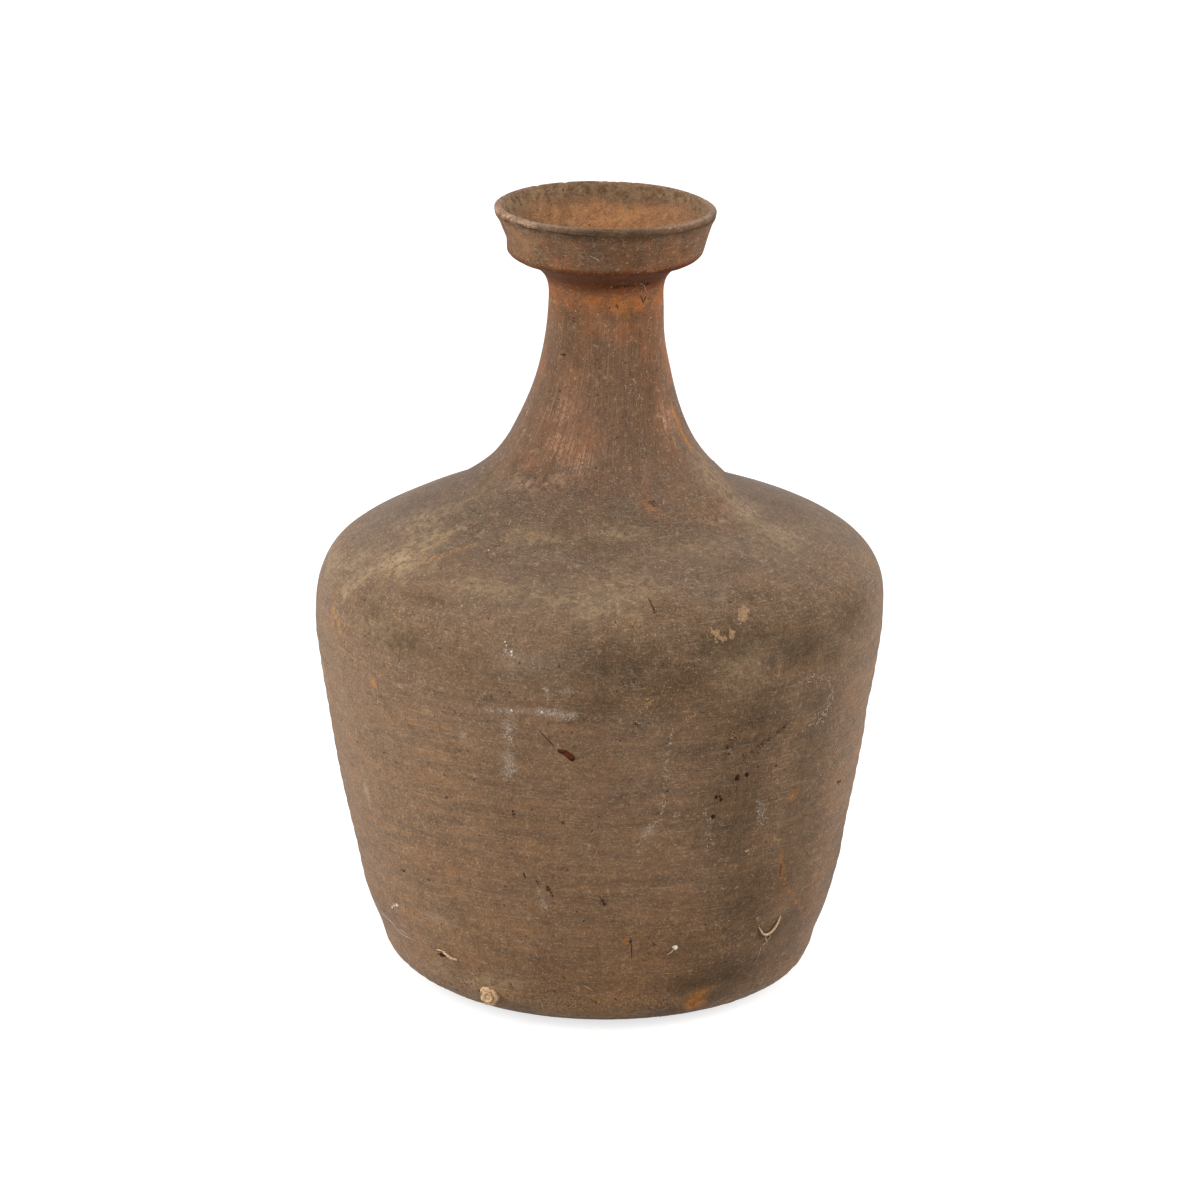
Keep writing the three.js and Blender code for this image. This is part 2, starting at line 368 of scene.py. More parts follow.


# Stains, with some painted light and shade, on the side that the photo shows: degrees, mm, half width mm,
# half height mm, strength
# Darker patches: soot, and painted shade along the neck's root and over the front of the shoulder
SMOKE_AND_SHADE = [
    (4, 206, 34, 16, 0.6), (17, 194, 32, 18, 0.65), (30, 212, 40, 14, 0.75), (45, 202, 32, 18, 0.85),
    (60, 208, 34, 14, 0.7), (34, 166, 32, 34, 0.75), (32, 120, 28, 50, 0.75), (38, 72, 32, 44, 0.8),
    (24, 46, 28, 20, 0.5), (36, 28, 36, 16, 0.95), (54, 40, 34, 40, 0.65), (19, 10, 16, 9, 0.7),
    (-70, 262, 18, 11, 0.5), (-42, 226, 16, 5, 0.5), (55, 230, 30, 12, 0.2), (50, 150, 30, 64, 0.65),
    (50, 90, 30, 60, 0.65), (20, 246, 30, 12, 0.3), (25, 305, 9, 20, 0.3), (42, 318, 10, 38, 0.5),
    (0, 268, 22, 10, 0.2), (-12, 396, 20, 3, 0.9), (16, 396, 22, 3, 0.9), (44, 396, 14, 3, 0.6),
    (-10, 250, 30, 10, 0.3), (34, 250, 22, 8, 0.3), (-28, 200, 20, 12, 0.2), (-42, 252, 18, 9, 0.3),
    (10, 262, 18, 8, 0.2), (-4, 221, 6, 6, 0.45), (-36, 332, 9, 24, 0.35), (-50, 310, 12, 40, 0.35),
    (46, 345, 10, 20, 0.4), (44, 300, 10, 12, 0.3), (0, 185, 16, 9, 0.6), (48, 190, 13, 10, 0.6),
    (24, 178, 13, 9, 0.6), (24, 156, 12, 9, 0.55), (-44, 206, 22, 9, 0.7), (-8, 241, 28, 6, 0.35),
    (-12, 232, 12, 5, 0.4), (48, 72, 20, 14, 0.85), (48, 46, 22, 13, 0.85), (27, 25, 24, 9, 0.95),
    (32, 17, 24, 8, 0.9), (-40, 350, 10, 9, 0.45), (-24, 283, 8, 6, 0.35), (2, 388, 20, 6, 0.4),
    (-34, 388, 12, 8, 0.3), (-60, 388, 12, 9, 0.1), (30, 388, 12, 7, 0.3), (-34, 272, 16, 8, 0.5),
    (-36, 312, 9, 14, 0.4), (30, 350, 8, 12, 0.4), (36, 330, 8, 10, 0.45), (14, 228, 13, 9, 0.4),
    (36, 228, 18, 11, 0.45), (-54, 214, 16, 7, 0.45), (38, 238, 14, 8, 0.4), (57, 240, 10, 6, 0.3),
    (14, 237, 10, 6, 0.35), (-42, 302, 14, 50, 0.3), (-6, 248, 46, 8, 0.55), (30, 248, 24, 7, 0.55),
    (0, 257, 30, 6, 0.35), (-18, 120, 16, 6, 0.25), (-36, 60, 12, 8, 0.25), (48, 296, 8, 9, 0.35),
    (4, 29, 20, 6, 0.2), (-46, 66, 14, 14, 0.22), (-36, 344, 12, 8, 0.35), (-50, 274, 12, 8, 0.4),
    (-24, 271, 10, 6, 0.4), (-72, 217, 8, 8, 0.35), (54, 192, 18, 10, 0.7), (36, 246, 12, 5, 0.3),
    (30, 249, 16, 5, 0.45), (0, 244, 22, 5, 0.5), (-10, 42, 20, 7, 0.2), (0, 50, 16, 6, 0.2),
]
# Pale patches: dust. The spots near 72 degrees, high on the right where the shoulder meets the neck, are also
# a painted sheen, and the spot low at the front of the foot is also painted light on its shaded edge
DUST_AND_LIGHT = [
    (-1, 229, 18, 8, 0.4), (-25, 233, 24, 6, 0.35), (-72, 244, 14, 12, 0.6), (6, 236, 14, 6, 0.5),
    (-58, 233, 18, 11, 1.0), (-50, 236, 12, 5, 0.5), (32, 246, 26, 8, 0.3), (66, 242, 20, 15, 0.5),
    (-20, 249, 18, 6, 0.35), (10, 252, 12, 6, 0.35), (28, 196, 12, 12, 0.3), (72, 251, 16, 10, 0.6),
    (-62, 130, 40, 60, 0.15), (-30, 12, 50, 8, 0.2), (50, 263, 8, 8, 0.15), (-66, 262, 14, 10, 0.2),
    (-50, 389, 14, 9, 0.25), (-24, 391, 8, 4, 0.15), (-12, 386, 8, 5, 0.2), (-45, 60, 40, 20, 0.15),
    (-50, 205, 20, 9, 0.2), (-8, 6, 40, 5, 0.65), (-75, 196, 14, 20, 0.15), (75, 268, 14, 16, 0.45),
    (-72, 228, 12, 16, 0.4), (-37.3, 186.9, 3, 2, 0.5), (-28.6, 161.8, 2, 3, 0.5),
    (-37.4, 172, 3, 2, 0.4), (-30, 22, 18, 7, 0.75), (-48, 24, 16, 7, 0.4), (-26, 15, 14, 5, 0.5),
    (0, 102, 24, 12, 0.12),
]
DUST_AND_LIGHT += stroke([(-66, 216), (-64, 226), (-62, 233), (-60, 239), (-58, 244)], 8, 6, 0.6)
DUST_AND_LIGHT += stroke([(-57.3, 226.4), (-55.9, 236.6), (-54.6, 241), (-55.9, 244.8)], 4, 2.5, 0.55)
DUST_AND_LIGHT += stroke([(-32, 233), (-16, 232.4), (-3, 230), (2.6, 231.6), (7, 237)], 9, 6, 0.35)
EMBER = [
    (12, 357, 11, 6, 1.0), (-14, 358, 10, 5, 0.9), (32, 356, 9, 8, 1.0), (58, 352, 12, 14, 0.7),
    (46, 332, 8, 14, 0.5), (-35, 292, 11, 10, 0.28), (-20, 285, 10, 8, 0.3), (-9, 291, 9, 8, 0.3),
    (-48, 278, 12, 8, 0.25), (-30, 315, 9, 18, 0.25), (0, 345, 14, 6, 0.4), (-40, 356, 10, 6, 0.6),
    (23.6, 262.5, 3, 6, 0.6), (65, 255, 18, 10, 0.2), (50, 300, 8, 14, 0.4), (20, 345, 10, 8, 0.6),
    (-35, 389, 5, 4, 0.4), (-62, 386, 8, 7, 0.12), (38, 386, 11, 6, 0.4), (20, 380, 12, 3, 0.4),
    (-20, 384, 6, 4, 0.3), (8, 387, 8, 4, 0.35),
]
RUST_MARKS = [
    (26.2, 12, 5, 6, 1.0), (27.6, 17, 4, 4, 0.7), (46.5, 121.5, 3, 2.6, 0.4), (-52, 178, 2.4, 2, 0.7),
    (6, 54, 1.0, 0.9, 0.5), (-70, 205, 3, 6, 0.2), (62, 56, 8, 16, 0.1), (12, 356, 7, 4, 0.4),
]
RUST_MARKS += stroke([(-51, 235.6), (-47.5, 238.5), (-45.4, 240.5), (-41.7, 244.5)], 2.2, 1.3, 0.14)
RUST_MARKS += stroke([(66, 300), (68, 292), (69, 287), (73, 279)], 1.7, 1.7, 0.75)
RUST_MARKS += stroke([(45, 92), (46.4, 77), (52, 63), (57.6, 53)], 1.8, 1.8, 0.2)
SALT_HAZE = [
    (-18, 209, 4, 3, 0.25), (10.5, 115, 4, 3, 0.35), (-28.6, 162.5, 2, 3, 0.35),
    (-10.4, 192, 1.6, 3, 0.35), (-6.3, 192, 3, 1.6, 0.35), (37, 116, 2.0, 6, 0.2),
    (-61.5, 113, 2.4, 7, 0.3), (-14, 205, 20, 6, 0.12), (24, 110, 2.0, 9, 0.1), (-42, 56, 8, 3, 0.25),
    (-13, 76, 2, 5, 0.3), (72, 253, 12, 8, 0.15),
]
SALT_HAZE += stroke([(-23, 178.5), (-14, 180)], 2.2, 2.0, 0.2)
SALT_HAZE += stroke([(-12, 180.3), (-4.4, 179)], 2.2, 2.2, 0.4)
SALT_HAZE += stroke([(-18.2, 173), (-18.5, 163)], 2.8, 2.8, 0.25)
SALT_HAZE += stroke([(-18.6, 155), (-18.9, 144)], 3.0, 2.8, 0.32)
RUB = [
    (-62, 399, 7, 2.0, 0.8), (-80, 399, 9, 2.0, 0.9), (-98, 399, 7, 2.0, 0.6), (-47, 398.5, 7, 1.5, 1.0),
    (55, 297, 5, 9, 0.9), (98, 399, 4, 1.5, 1.0), (-33, 303, 9, 14, 0.4), (4, 344, 6, 8, 0.35),
    (-50, 247, 10, 2, 0.4), (52, 252, 9, 2, 0.4), (30, 378, 8, 0.8, 0.4), (-26, 288, 11, 11, 0.5),
    (-12, 281, 6, 8, 0.7), (-40, 268, 8, 5, 0.4), (-21, 273, 5, 4, 0.5), (24, 330, 5, 6, 0.3),
]
# How warm the clay's brown is, by height in mm
WARMTH = [
    (0, 0.92), (28, 0.98), (45, 0.84), (100, 0.7), (150, 0.62), (195, 0.5), (225, 0.34), (245, 0.22),
    (262, 0.06), (280, 0.18), (310, 0.3), (345, 0.5), (352, 0.86), (376, 0.86), (384, 0.45), (400, 0.42),
]
# How coarse the clay's surface is, by height in mm
GRAIN = [
    (0, 1.4), (40, 1.15), (100, 1.05), (184, 1.15), (215, 1.3), (250, 1.25), (275, 0.85), (350, 0.75),
    (400, 0.9),
]

BACK = (85, 275)  # degrees: the side that the photo doesn't show


def unseen_side(count, seed, low, high, width, height, strength):
    """Stains of the same kind scattered over the back."""
    pick = np.random.default_rng(seed)
    spans = (BACK, (low, high), width, height, strength)
    return [tuple(pick.uniform(*span) for span in spans) for _ in range(count)]


SMOKE_AND_SHADE += unseen_side(9, 21, 20, 260, (15, 45), (8, 30), (0.3, 0.8))
DUST_AND_LIGHT += unseen_side(12, 22, 20, 255, (10, 40), (6, 18), (0.3, 0.7))
EMBER += unseen_side(10, 23, 255, 365, (7, 14), (6, 16), (0.3, 0.8))
SALT_HAZE += unseen_side(8, 25, 40, 230, (2, 7), (1.5, 7), (0.1, 0.25))
RUST_MARKS += unseen_side(6, 26, 15, 290, (1.5, 5), (1.5, 5), (0.2, 0.45))
RUB += unseen_side(5, 24, 265, 330, (4, 9), (4, 10), (0.4, 0.8))

# How often the clay's tool marks change: round the pot, and up it to the metre
WHEEL_TURN = 5.0
WHEEL_PITCH = 700.0
STROKE_TURN = 42.0
STROKE_PITCH = 20.0
STROKE_TWIST = 4.0  # radians to the metre of radius


def tool_marks(points):
    """Coordinates for wheel lines, which run round the pot, and for burnishing strokes, which run up it."""
    azimuth = azimuth_of(points)
    z = points[:, 2]
    radius = radius_of(points)
    climb = (z - 0.3 * radius) * WHEEL_PITCH
    wheel = np.stack([WHEEL_TURN * np.cos(azimuth), WHEEL_TURN * np.sin(azimuth), climb], axis=1)
    twisted = azimuth + STROKE_TWIST * (radius - 0.03)
    climb = (z - radius) * STROKE_PITCH
    burnish = np.stack([STROKE_TURN * np.cos(twisted), STROKE_TURN * np.sin(twisted), climb], axis=1)
    return wheel, burnish


def inside_cup(points):
    """1 on the inside of the mouth cup."""
    z = points[:, 2]
    depth = outer_radius(z) - radius_of(points)
    return smooth(depth, 2.5 * MM, 4.5 * MM) * smooth(z, WAIST_Z - 60 * MM, WAIST_Z)


def write_values(mesh, name, values):
    """Stores one number for each vertex, for the shader to read."""
    values = np.asarray(values, np.float32)
    mesh.attributes.new(name, "FLOAT", "POINT").data.foreach_set("value", values)


def stain_and_shade(mesh, points):
    """Writes the staining, the painted light and shade, and the tool-mark coordinates on a section's mesh."""
    z = points[:, 2]
    azimuth = azimuth_of(points)
    degrees = np.degrees(azimuth)
    facing = 0.5 + 0.5 * np.cos(azimuth)
    inside = inside_cup(points)
    outside = 1.0 - inside

    top_band = smooth(z + 3 * MM * mottle(points, 12 * MM, 9), LIP_Z - 13 * MM, LIP_Z - 5 * MM)
    # Darker towards the inside's left end
    left_of_cup = 0.5 * hump(degrees, -105, 40)
    # Painted shadow: the mouth cup's shadow falling on the top of the neck
    cup_shadow = plateau(z, (WAIST_Z + 4 * MM, WAIST_Z + 14 * MM), (LIP_Z - 23 * MM, LIP_Z - 20 * MM))
    cup_shadow *= (0.93 + 0.15 * mottle(points, 9 * MM, 10)) * (1.0 - 0.3 * hump(degrees, -45, 30))
    on_cup = smooth(z, CUP_FOOT_Z - 2 * MM, CUP_FOOT_Z + 2 * MM)
    at_lip = smooth(z, LIP_Z - 5 * MM, LIP_Z - 2 * MM)
    below_lip = 1.0 - at_lip
    cup_soot = 0.45 * on_cup * (mottle(points, 8 * MM, 13) + 0.5 * mottle(points, 3 * MM, 14))
    cup_glow = 0.45 * on_cup * below_lip * (mottle(points, 9 * MM, 15) + 0.5 * mottle(points, 3 * MM, 16))

    sooty = hump(degrees, 4, 34)
    lip_soot = 0.75 * sooty * at_lip * (0.9 + 0.5 * mottle(points, 5 * MM, 20))
    # A dark line round the outside, along the groove under the lip
    lip_line = 0.9 * hump(z, LIP_Z - 3.6 * MM, 1.3 * MM)
    lip_wear = 0.25 * smooth(z, LIP_Z - 1.0 * MM, LIP_Z - 0.2 * MM) * (1.0 - sooty)
    # Painted highlight along the top of the lip, strongest at the front; it goes in with the salt
    lip_shine = 0.45 * facing * (1.0 - 0.75 * sooty) * smooth(z, LIP_Z - 1.3 * MM, LIP_Z - 0.3 * MM)

    neck_glow = 0.9 * hump(z, WAIST_Z + 1 * MM, 8 * MM) * (0.6 + 0.6 * mottle(points, 9 * MM, 12))
    # Painted shade in the crease round the neck's root
    root_shade = 0.36 * hump(z, ROOT_Z + 9 * MM, 15 * MM) * (0.8 + 0.5 * mottle(points, 20 * MM, 19))
    heel_crumble = hump(z, 13 * MM, 7.5 * MM) * (0.8 + 0.5 * mottle(points, 13 * MM, 18))
    heel_crumble *= 1.0 - 0.8 * hump(degrees, 42, 24)
    on_wall = 1.0 - smooth(z, BELLY_Z, BELLY_Z + 25 * MM)
    on_neck = plateau(z, (ROOT_Z + 12 * MM, ROOT_Z + 45 * MM), (WAIST_Z - 12 * MM, WAIST_Z))

    smoke_and_shade = [patches(points, SMOKE_AND_SHADE, 0.35, 24 * MM, 1), lip_line, lip_soot, cup_soot, root_shade]
    # Painted shade over the front of the shoulder, joined to the darker patches
    shoulder_front_shade = 0.15 * facing * hump(z, BELLY_Z + 40 * MM, 36 * MM)
    darkest = 1.0 - (1.0 - np.max(smoke_and_shade, axis=0)) * (1.0 - shoulder_front_shade)
    layers = {
        # smoke_and_shade: soot, with painted shade at the neck's root and over the shoulder's front
        "smoke_and_shade": np.maximum(outside * darkest, inside * np.maximum(0.45 * top_band, left_of_cup)),
        # shade: the cup's painted shadow on the neck
        "shade": outside * cup_shadow,
        # dust_and_light: dust, with a painted sheen on the right shoulder and painted light at the foot's
        # front
        "dust_and_light": np.maximum(outside * patches(points, DUST_AND_LIGHT, 0.8, 12 * MM, 2), 0.4 * inside * top_band),
        "ember": outside * np.max([patches(points, EMBER, 0.9, 9 * MM, 4), neck_glow, cup_glow], axis=0),
        "rust": outside * patches(points, RUST_MARKS, 0.8, 4 * MM, 3),
        # The inside's own orange, with painted light: full at the front and back walls, fading towards the
        # left and right
        "inside": inside * (1 - 0.85 * top_band) * (1.0 - 0.6 * np.sin(azimuth) ** 2),
        "rub": np.maximum(outside * patches(points, RUB, 0.8, 5 * MM, 6), lip_wear),
        # salt haze, with the lip's painted highlight
        "salt_and_highlight": np.maximum(outside * patches(points, SALT_HAZE, 0.5, 4 * MM, 8), lip_shine),
        "crumble": outside * heel_crumble,
        "warmth": np.interp(z / MM, *np.array(WARMTH).T) + 0.12 * mottle(points, 30 * MM, 17),
        "grain": np.interp(z / MM, *np.array(GRAIN).T) / 2.0,
        "burnished": on_neck,
        "redness": smooth(z, ROOT_Z - 22 * MM, ROOT_Z + 38 * MM),
        "tooled": np.maximum(0.25, np.maximum(on_wall, 0.6 * on_neck)),
    }
    for name, values in layers.items():
        write_values(mesh, name, np.clip(values, 0.0, 1.0))
    for name, vectors in zip(("wheel", "burnish"), tool_marks(points)):
        attribute = mesh.attributes.new(name, "FLOAT_VECTOR", "POINT")
        attribute.data.foreach_set("vector", vectors.astype(np.float32).ravel())


def turned_faces(rows, closed, poles):
    """Faces between the rings of a turned mesh. A pole row has one vertex."""
    ids = []
    count = 0
    for row in range(rows):
        if row in poles:
            ids.append(np.full(TURN_STEPS, count))
            count += 1
        else:
            ids.append(np.arange(count, count + TURN_STEPS))
            count += TURN_STEPS
    if closed:
        ids.append(ids[0])
    faces = []
    for low, high in zip(ids[:-1], ids[1:]):
        ring = np.stack([low, np.roll(low, -1), np.roll(high, -1), high], axis=1)
        faces.extend(list(dict.fromkeys(face)) for face in ring.tolist())
    return faces


def link(name, data):
    """A new object in the scene."""
    thing = bpy.data.objects.new(name, data)
    bpy.context.scene.collection.objects.link(thing)
    return thing


def add_piece(name, data, slot="brown_terracotta", node=None):
    """Links a piece, rides it on the jug and hides the CAD node that it stands for; the slot is not used."""
    piece = link(name, data)
    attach(piece, "root")
    if node:
        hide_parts(node)
    return piece


def add_mesh(name, vertices, faces, material, **piece_settings):
    """A piece with a smooth-shaded mesh."""
    mesh = bpy.data.meshes.new(name)
    mesh.from_pydata(vertices, [], faces)
    mesh.polygons.foreach_set("use_smooth", np.ones(len(mesh.polygons), bool))
    mesh.materials.append(material)
    return add_piece(name, mesh, **piece_settings)


def turned_section(node, material, slot):
    """A section turned from its smoothed outline, settled by hand, with its staining and painted light and
    shade.
    """
    outline = OUTLINES[node]
    closed = bool(np.allclose(outline[0], outline[-1]) and outline[0][0] > 0)
    rows = outline[:-1] if closed else outline
    angle = np.arange(TURN_STEPS) * 2.0 * math.pi / TURN_STEPS
    circle = np.stack([np.sin(angle), -np.cos(angle)], axis=1)
    poles = {i for i, (radius, _) in enumerate(rows) if radius < 1e-6}
    rings = []
    for i, (radius, z) in enumerate(rows):
        spokes = circle[:1] if i in poles else circle
        rings.append(np.column_stack([spokes * radius, np.full(len(spokes), z)]))
    points = np.concatenate(rings)
    faces = turned_faces(len(rows), closed, poles)
    piece = add_mesh(f"{node}_clay", settle(points), faces, material, slot=slot, node=node)
    piece.data.set_sharp_from_angle(angle=CORNER_TURN)
    stain_and_shade(piece.data, points)


def colour(*screen):
    """A colour given in the 0 to 255 numbers of a screen, as the shader needs it."""
    parts = [part / 255.0 for part in screen]
    linear = [part / 12.92 if part <= 0.04045 else ((part + 0.055) / 1.055) ** 2.4 for part in parts]
    return (*linear, 1.0)


BROWN_DARK = colour(62, 46, 34)
BROWN_LIGHT = colour(160, 129, 101)
RED_DARK = colour(60, 43, 32)
RED_LIGHT = colour(147, 112, 86)
SMOKE_AND_SHADE_TONE = colour(59, 46, 30)
DUST_AND_LIGHT_TONE = colour(168, 143, 108)
EMBER_TONE = colour(176, 104, 58)
RUST_TONE = colour(192, 122, 48)
CUP_TONE = colour(186, 132, 88)
SHADE_TONE = colour(92, 45, 17)
SALT_AND_HIGHLIGHT_TONE = colour(186, 172, 156)
RUB_TONE = colour(196, 152, 122)
PORE_TONE = colour(46, 33, 25)
FLECK_TONE = colour(186, 160, 132)
OCHRE_TONE = colour(172, 132, 92)
WARM_TINT = (1.10, 0.955, 0.80, 1.0)
COOL_TINT = (0.95, 1.06, 1.20, 1.0)


class Shader:
    """A node tree under construction."""

    def __init__(self, name):
        self.material = bpy.data.materials.new(name)
        self.material.use_nodes = True
        self.tree = self.material.node_tree

    def feed(self, node, sockets):
        """Links a node's sockets to other nodes' outputs, or sets them to plain values."""
        for name, value in sockets.items():
            if isinstance(value, bpy.types.NodeSocket):
                self.tree.links.new(value, node.inputs[name])
            else:
                node.inputs[name].default_value = value

    def add(self, kind, sockets, **settings):
        node = self.tree.nodes.new(kind)
        for key, value in settings.items():
            setattr(node, key, value)
        self.feed(node, sockets)
        return node

    def finish(self, sockets):
        """Feeds the surface and returns the material."""
        self.feed(self.tree.nodes["Principled BSDF"], sockets)
        return self.material

    def place(self):
        return self.add("ShaderNodeTexCoord", {}).outputs["Object"]

    def attribute(self, name, output="Fac"):
        return self.add("ShaderNodeAttribute", {}, attribute_name=name).outputs[output]

    def noise(self, vector, scale, detail, roughness):
        sockets = {"Vector": vector, "Scale": scale, "Detail": detail, "Roughness": roughness}
        return self.add("ShaderNodeTexNoise", sockets).outputs["Fac"]

    def math(self, operation, *values):
        return self.add("ShaderNodeMath", dict(enumerate(values)), operation=operation).outputs[0]

    def times(self, *factors):
        return functools.reduce(lambda a, b: self.math("MULTIPLY", a, b), factors)

    def largest(self, *values):
        return functools.reduce(lambda a, b: self.math("MAXIMUM", a, b), values)

    def middle(self, noise):
        """How far a noise is from its middle value."""
        return self.math("ABSOLUTE", self.math("SUBTRACT", noise, 0.5))

    def ramp(self, value, low, high, bottom=0.0, top=1.0):
        sockets = dict(enumerate((value, low, high, bottom, top)))
        return self.add("ShaderNodeMapRange", sockets, interpolation_type="SMOOTHSTEP").outputs[0]

    def specks(self, vector, scale, size, share):
        """Small separate spots: size is their radius in cells, share is how many cells have one."""
        cells = self.add("ShaderNodeTexVoronoi", {"Vector": vector, "Scale": scale}).outputs
        chance = self.add("ShaderNodeSeparateColor", {0: cells["Color"]}).outputs[0]
        near = self.ramp(cells["Distance"], 0.4 * size, size, 1.0, 0.0)
        return self.times(near, self.ramp(chance, 0.9 - share, 1.1 - share))

    def stretch(self, vector, factors):
        return self.add("ShaderNodeVectorMath", {0: vector, 1: factors}, operation="MULTIPLY").outputs[0]

    def total(self, *parts):
        """Sum of noises, each taken about its middle and given its weight."""
        summed = 0.0
        for noise, weight in parts:
            summed = self.math("MULTIPLY_ADD", self.math("SUBTRACT", noise, 0.5), weight, summed)
        return summed

    def mix(self, factor, a, b, blend="MIX", clamp=True):
        settings = {"data_type": "RGBA", "blend_type": blend, "clamp_factor": clamp}
        return self.add("ShaderNodeMix", {0: factor, 6: a, 7: b}, **settings).outputs[2]

    def bump(self, height, depth, strength, under=None):
        sockets = {"Height": height, "Distance": depth, "Strength": strength}
        if under:
            sockets["Normal"] = under
        return self.add("ShaderNodeBump", sockets).outputs["Normal"]


def terracotta(name, dark=BROWN_DARK, light=BROWN_LIGHT, sheen=0.18):
    """Fired clay with tool marks, grit, and the staining and painted light and shade that its mesh carries.
    """
    s = Shader(name)
    place = s.place()
    wheel = s.attribute("wheel", "Vector")
    burnish = s.attribute("burnish", "Vector")
    burnished = s.attribute("burnished")
    tooled = s.attribute("tooled")
    grain = s.attribute("grain")
    redness = s.attribute("redness")
    crumble = s.attribute("crumble")
    blotch = s.noise(place, 30.0, 4.0, 0.6)
    grit = s.noise(place, 150.0, 4.0, 0.85)
    sand = s.noise(place, 900.0, 2.0, 0.9)
    tint = s.noise(place, 760.0, 3.0, 0.9)
    lines = s.mix(burnished, s.noise(wheel, 1.0, 3.0, 0.6), s.noise(burnish, 1.0, 3.0, 0.6))
    smears = s.noise(s.stretch(wheel, (0.7, 0.7, 0.22)), 1.0, 3.0, 0.6)

    tone = s.total((grit, s.times(grain, 1.3)), (sand, s.times(grain, 1.9)), (blotch, 0.25))
    tone = s.math("ADD", tone, s.total((lines, s.times(tooled, 0.32)), (smears, s.times(tooled, 0.5))))
    tone = s.math("ADD", tone, s.times(grain, s.ramp(sand, 0.55, 0.8), 1.1))
    base = s.mix(s.ramp(tone, -0.83, 0.9), s.mix(redness, dark, RED_DARK), s.mix(redness, light, RED_LIGHT))
    warmth = s.math("ADD", s.attribute("warmth"), s.total((tint, 2.6), (grit, 0.6), (smears, 1.0)))
    base = s.mix(1.0, base, s.mix(warmth, COOL_TINT, WARM_TINT, clamp=False), "MULTIPLY")

    scratch_wheel = s.noise(s.stretch(wheel, (2.2, 2.2, 2.4)), 1.0, 2.0, 0.6)
    scratch_burnish = s.noise(s.stretch(burnish, (2.0, 2.0, 1.6)), 1.0, 2.0, 0.6)
    scratches = s.ramp(s.mix(burnished, scratch_wheel, scratch_burnish), 0.56, 0.72)
    scraped = s.times(s.ramp(scratch_burnish, 0.42, 0.56), s.ramp(tint, 0.42, 0.56))
    stains_and_shading = (
        ("ember", EMBER_TONE, s.ramp(grit, 0.36, 0.6, 0.35, 1.0), s.ramp(lines, 0.36, 0.6, 0.5, 1.0)),
        # inside: the cup's inner orange, with painted light on its front and back walls
        ("inside", CUP_TONE, s.ramp(grit, 0.34, 0.62, 0.35, 1.0), s.ramp(sand, 0.3, 0.6, 0.6, 1.0)),
        # smoke_and_shade: soot, with painted shade at the neck's root and over the shoulder's front
        ("smoke_and_shade", SMOKE_AND_SHADE_TONE, s.ramp(grit, 0.34, 0.66, 0.9, 0.74)),
        # shade: the cup's painted shadow on the neck
        ("shade", SHADE_TONE, s.ramp(grit, 0.34, 0.66, 1.0, 0.8)),
        # dust_and_light: dust, with a painted sheen on the right shoulder and painted light at the foot's
        # front
        ("dust_and_light", DUST_AND_LIGHT_TONE, s.ramp(s.noise(place, 240.0, 4.0, 0.8), 0.42, 0.58, 0.12, 1.05)),
        ("rust", RUST_TONE, s.ramp(grit, 0.36, 0.6, 0.4, 1.0)),
        ("rub", RUB_TONE, s.mix(burnished, s.ramp(grit, 0.42, 0.56), scraped)),
        # salt haze, with the lip's painted highlight
        ("salt_and_highlight", SALT_AND_HIGHLIGHT_TONE, s.ramp(sand, 0.35, 0.65, 0.35, 1.0)),
    )
    for layer, layer_tone, *broken_by in stains_and_shading:
        base = s.mix(s.times(s.attribute(layer), *broken_by), base, layer_tone)

    curls = s.ramp(s.middle(s.noise(place, 230.0, 1.0, 0.5)), 0.008, 0.02, 1.0, 0.0)
    curls = s.times(curls, s.ramp(s.noise(place, 300.0, 1.0, 0.5), 0.54, 0.62))
    flecks = s.largest(s.specks(place, 430.0, 0.2, 0.3), s.times(s.specks(place, 760.0, 0.3, 0.3), 0.7))
    wheel_strokes = s.specks(s.stretch(wheel, (5.2, 5.2, 1.2)), 1.0, 0.26, 0.4)
    burnish_strokes = s.specks(s.stretch(burnish, (0.9, 0.9, 6.0)), 1.0, 0.26, 0.35)
    strokes = s.mix(burnished, wheel_strokes, burnish_strokes)
    marks = ((flecks, 0.6), (strokes, 0.4), (curls, 0.35), (scratches, 0.25))
    light_marks = s.largest(*(s.times(mark, strength) for mark, strength in marks))
    darkened = s.largest(s.attribute("smoke_and_shade"), s.attribute("shade"))
    light_marks = s.times(light_marks, s.ramp(darkened, 0.2, 1.0, 1.0, 0.25))
    base = s.mix(light_marks, base, FLECK_TONE)
    pores = s.ramp(s.noise(place, 430.0, 2.0, 0.6), 0.67, 0.74)
    base = s.mix(s.times(pores, 0.75), base, PORE_TONE)
    crumbs = s.noise(place, 800.0, 3.0, 0.7)
    base = s.mix(s.times(crumble, s.ramp(crumbs, 0.46, 0.62), 0.8), base, OCHRE_TONE)
    base = s.mix(s.times(crumble, s.ramp(crumbs, 0.42, 0.34), 0.7), base, PORE_TONE)

    relief = s.bump(s.times(lines, tooled), 0.3 * MM, 0.6)
    relief = s.bump(grit, 0.5 * MM, 0.4, relief)
    relief = s.bump(sand, 0.3 * MM, 0.7, relief)
    relief = s.bump(s.math("SUBTRACT", light_marks, pores), 0.3 * MM, 0.7, relief)
    relief = s.bump(s.times(crumble, crumbs), 0.9 * MM, 0.8, relief)
    sockets = {
        "Base Color": base,
        "Roughness": s.ramp(blotch, 0.25, 0.75, 0.76, 0.92),
        "Specular IOR Level": 0.04,
        "Sheen Weight": sheen,
        "Sheen Roughness": 0.4,
        "Normal": relief,
    }
    return s.finish(sockets)


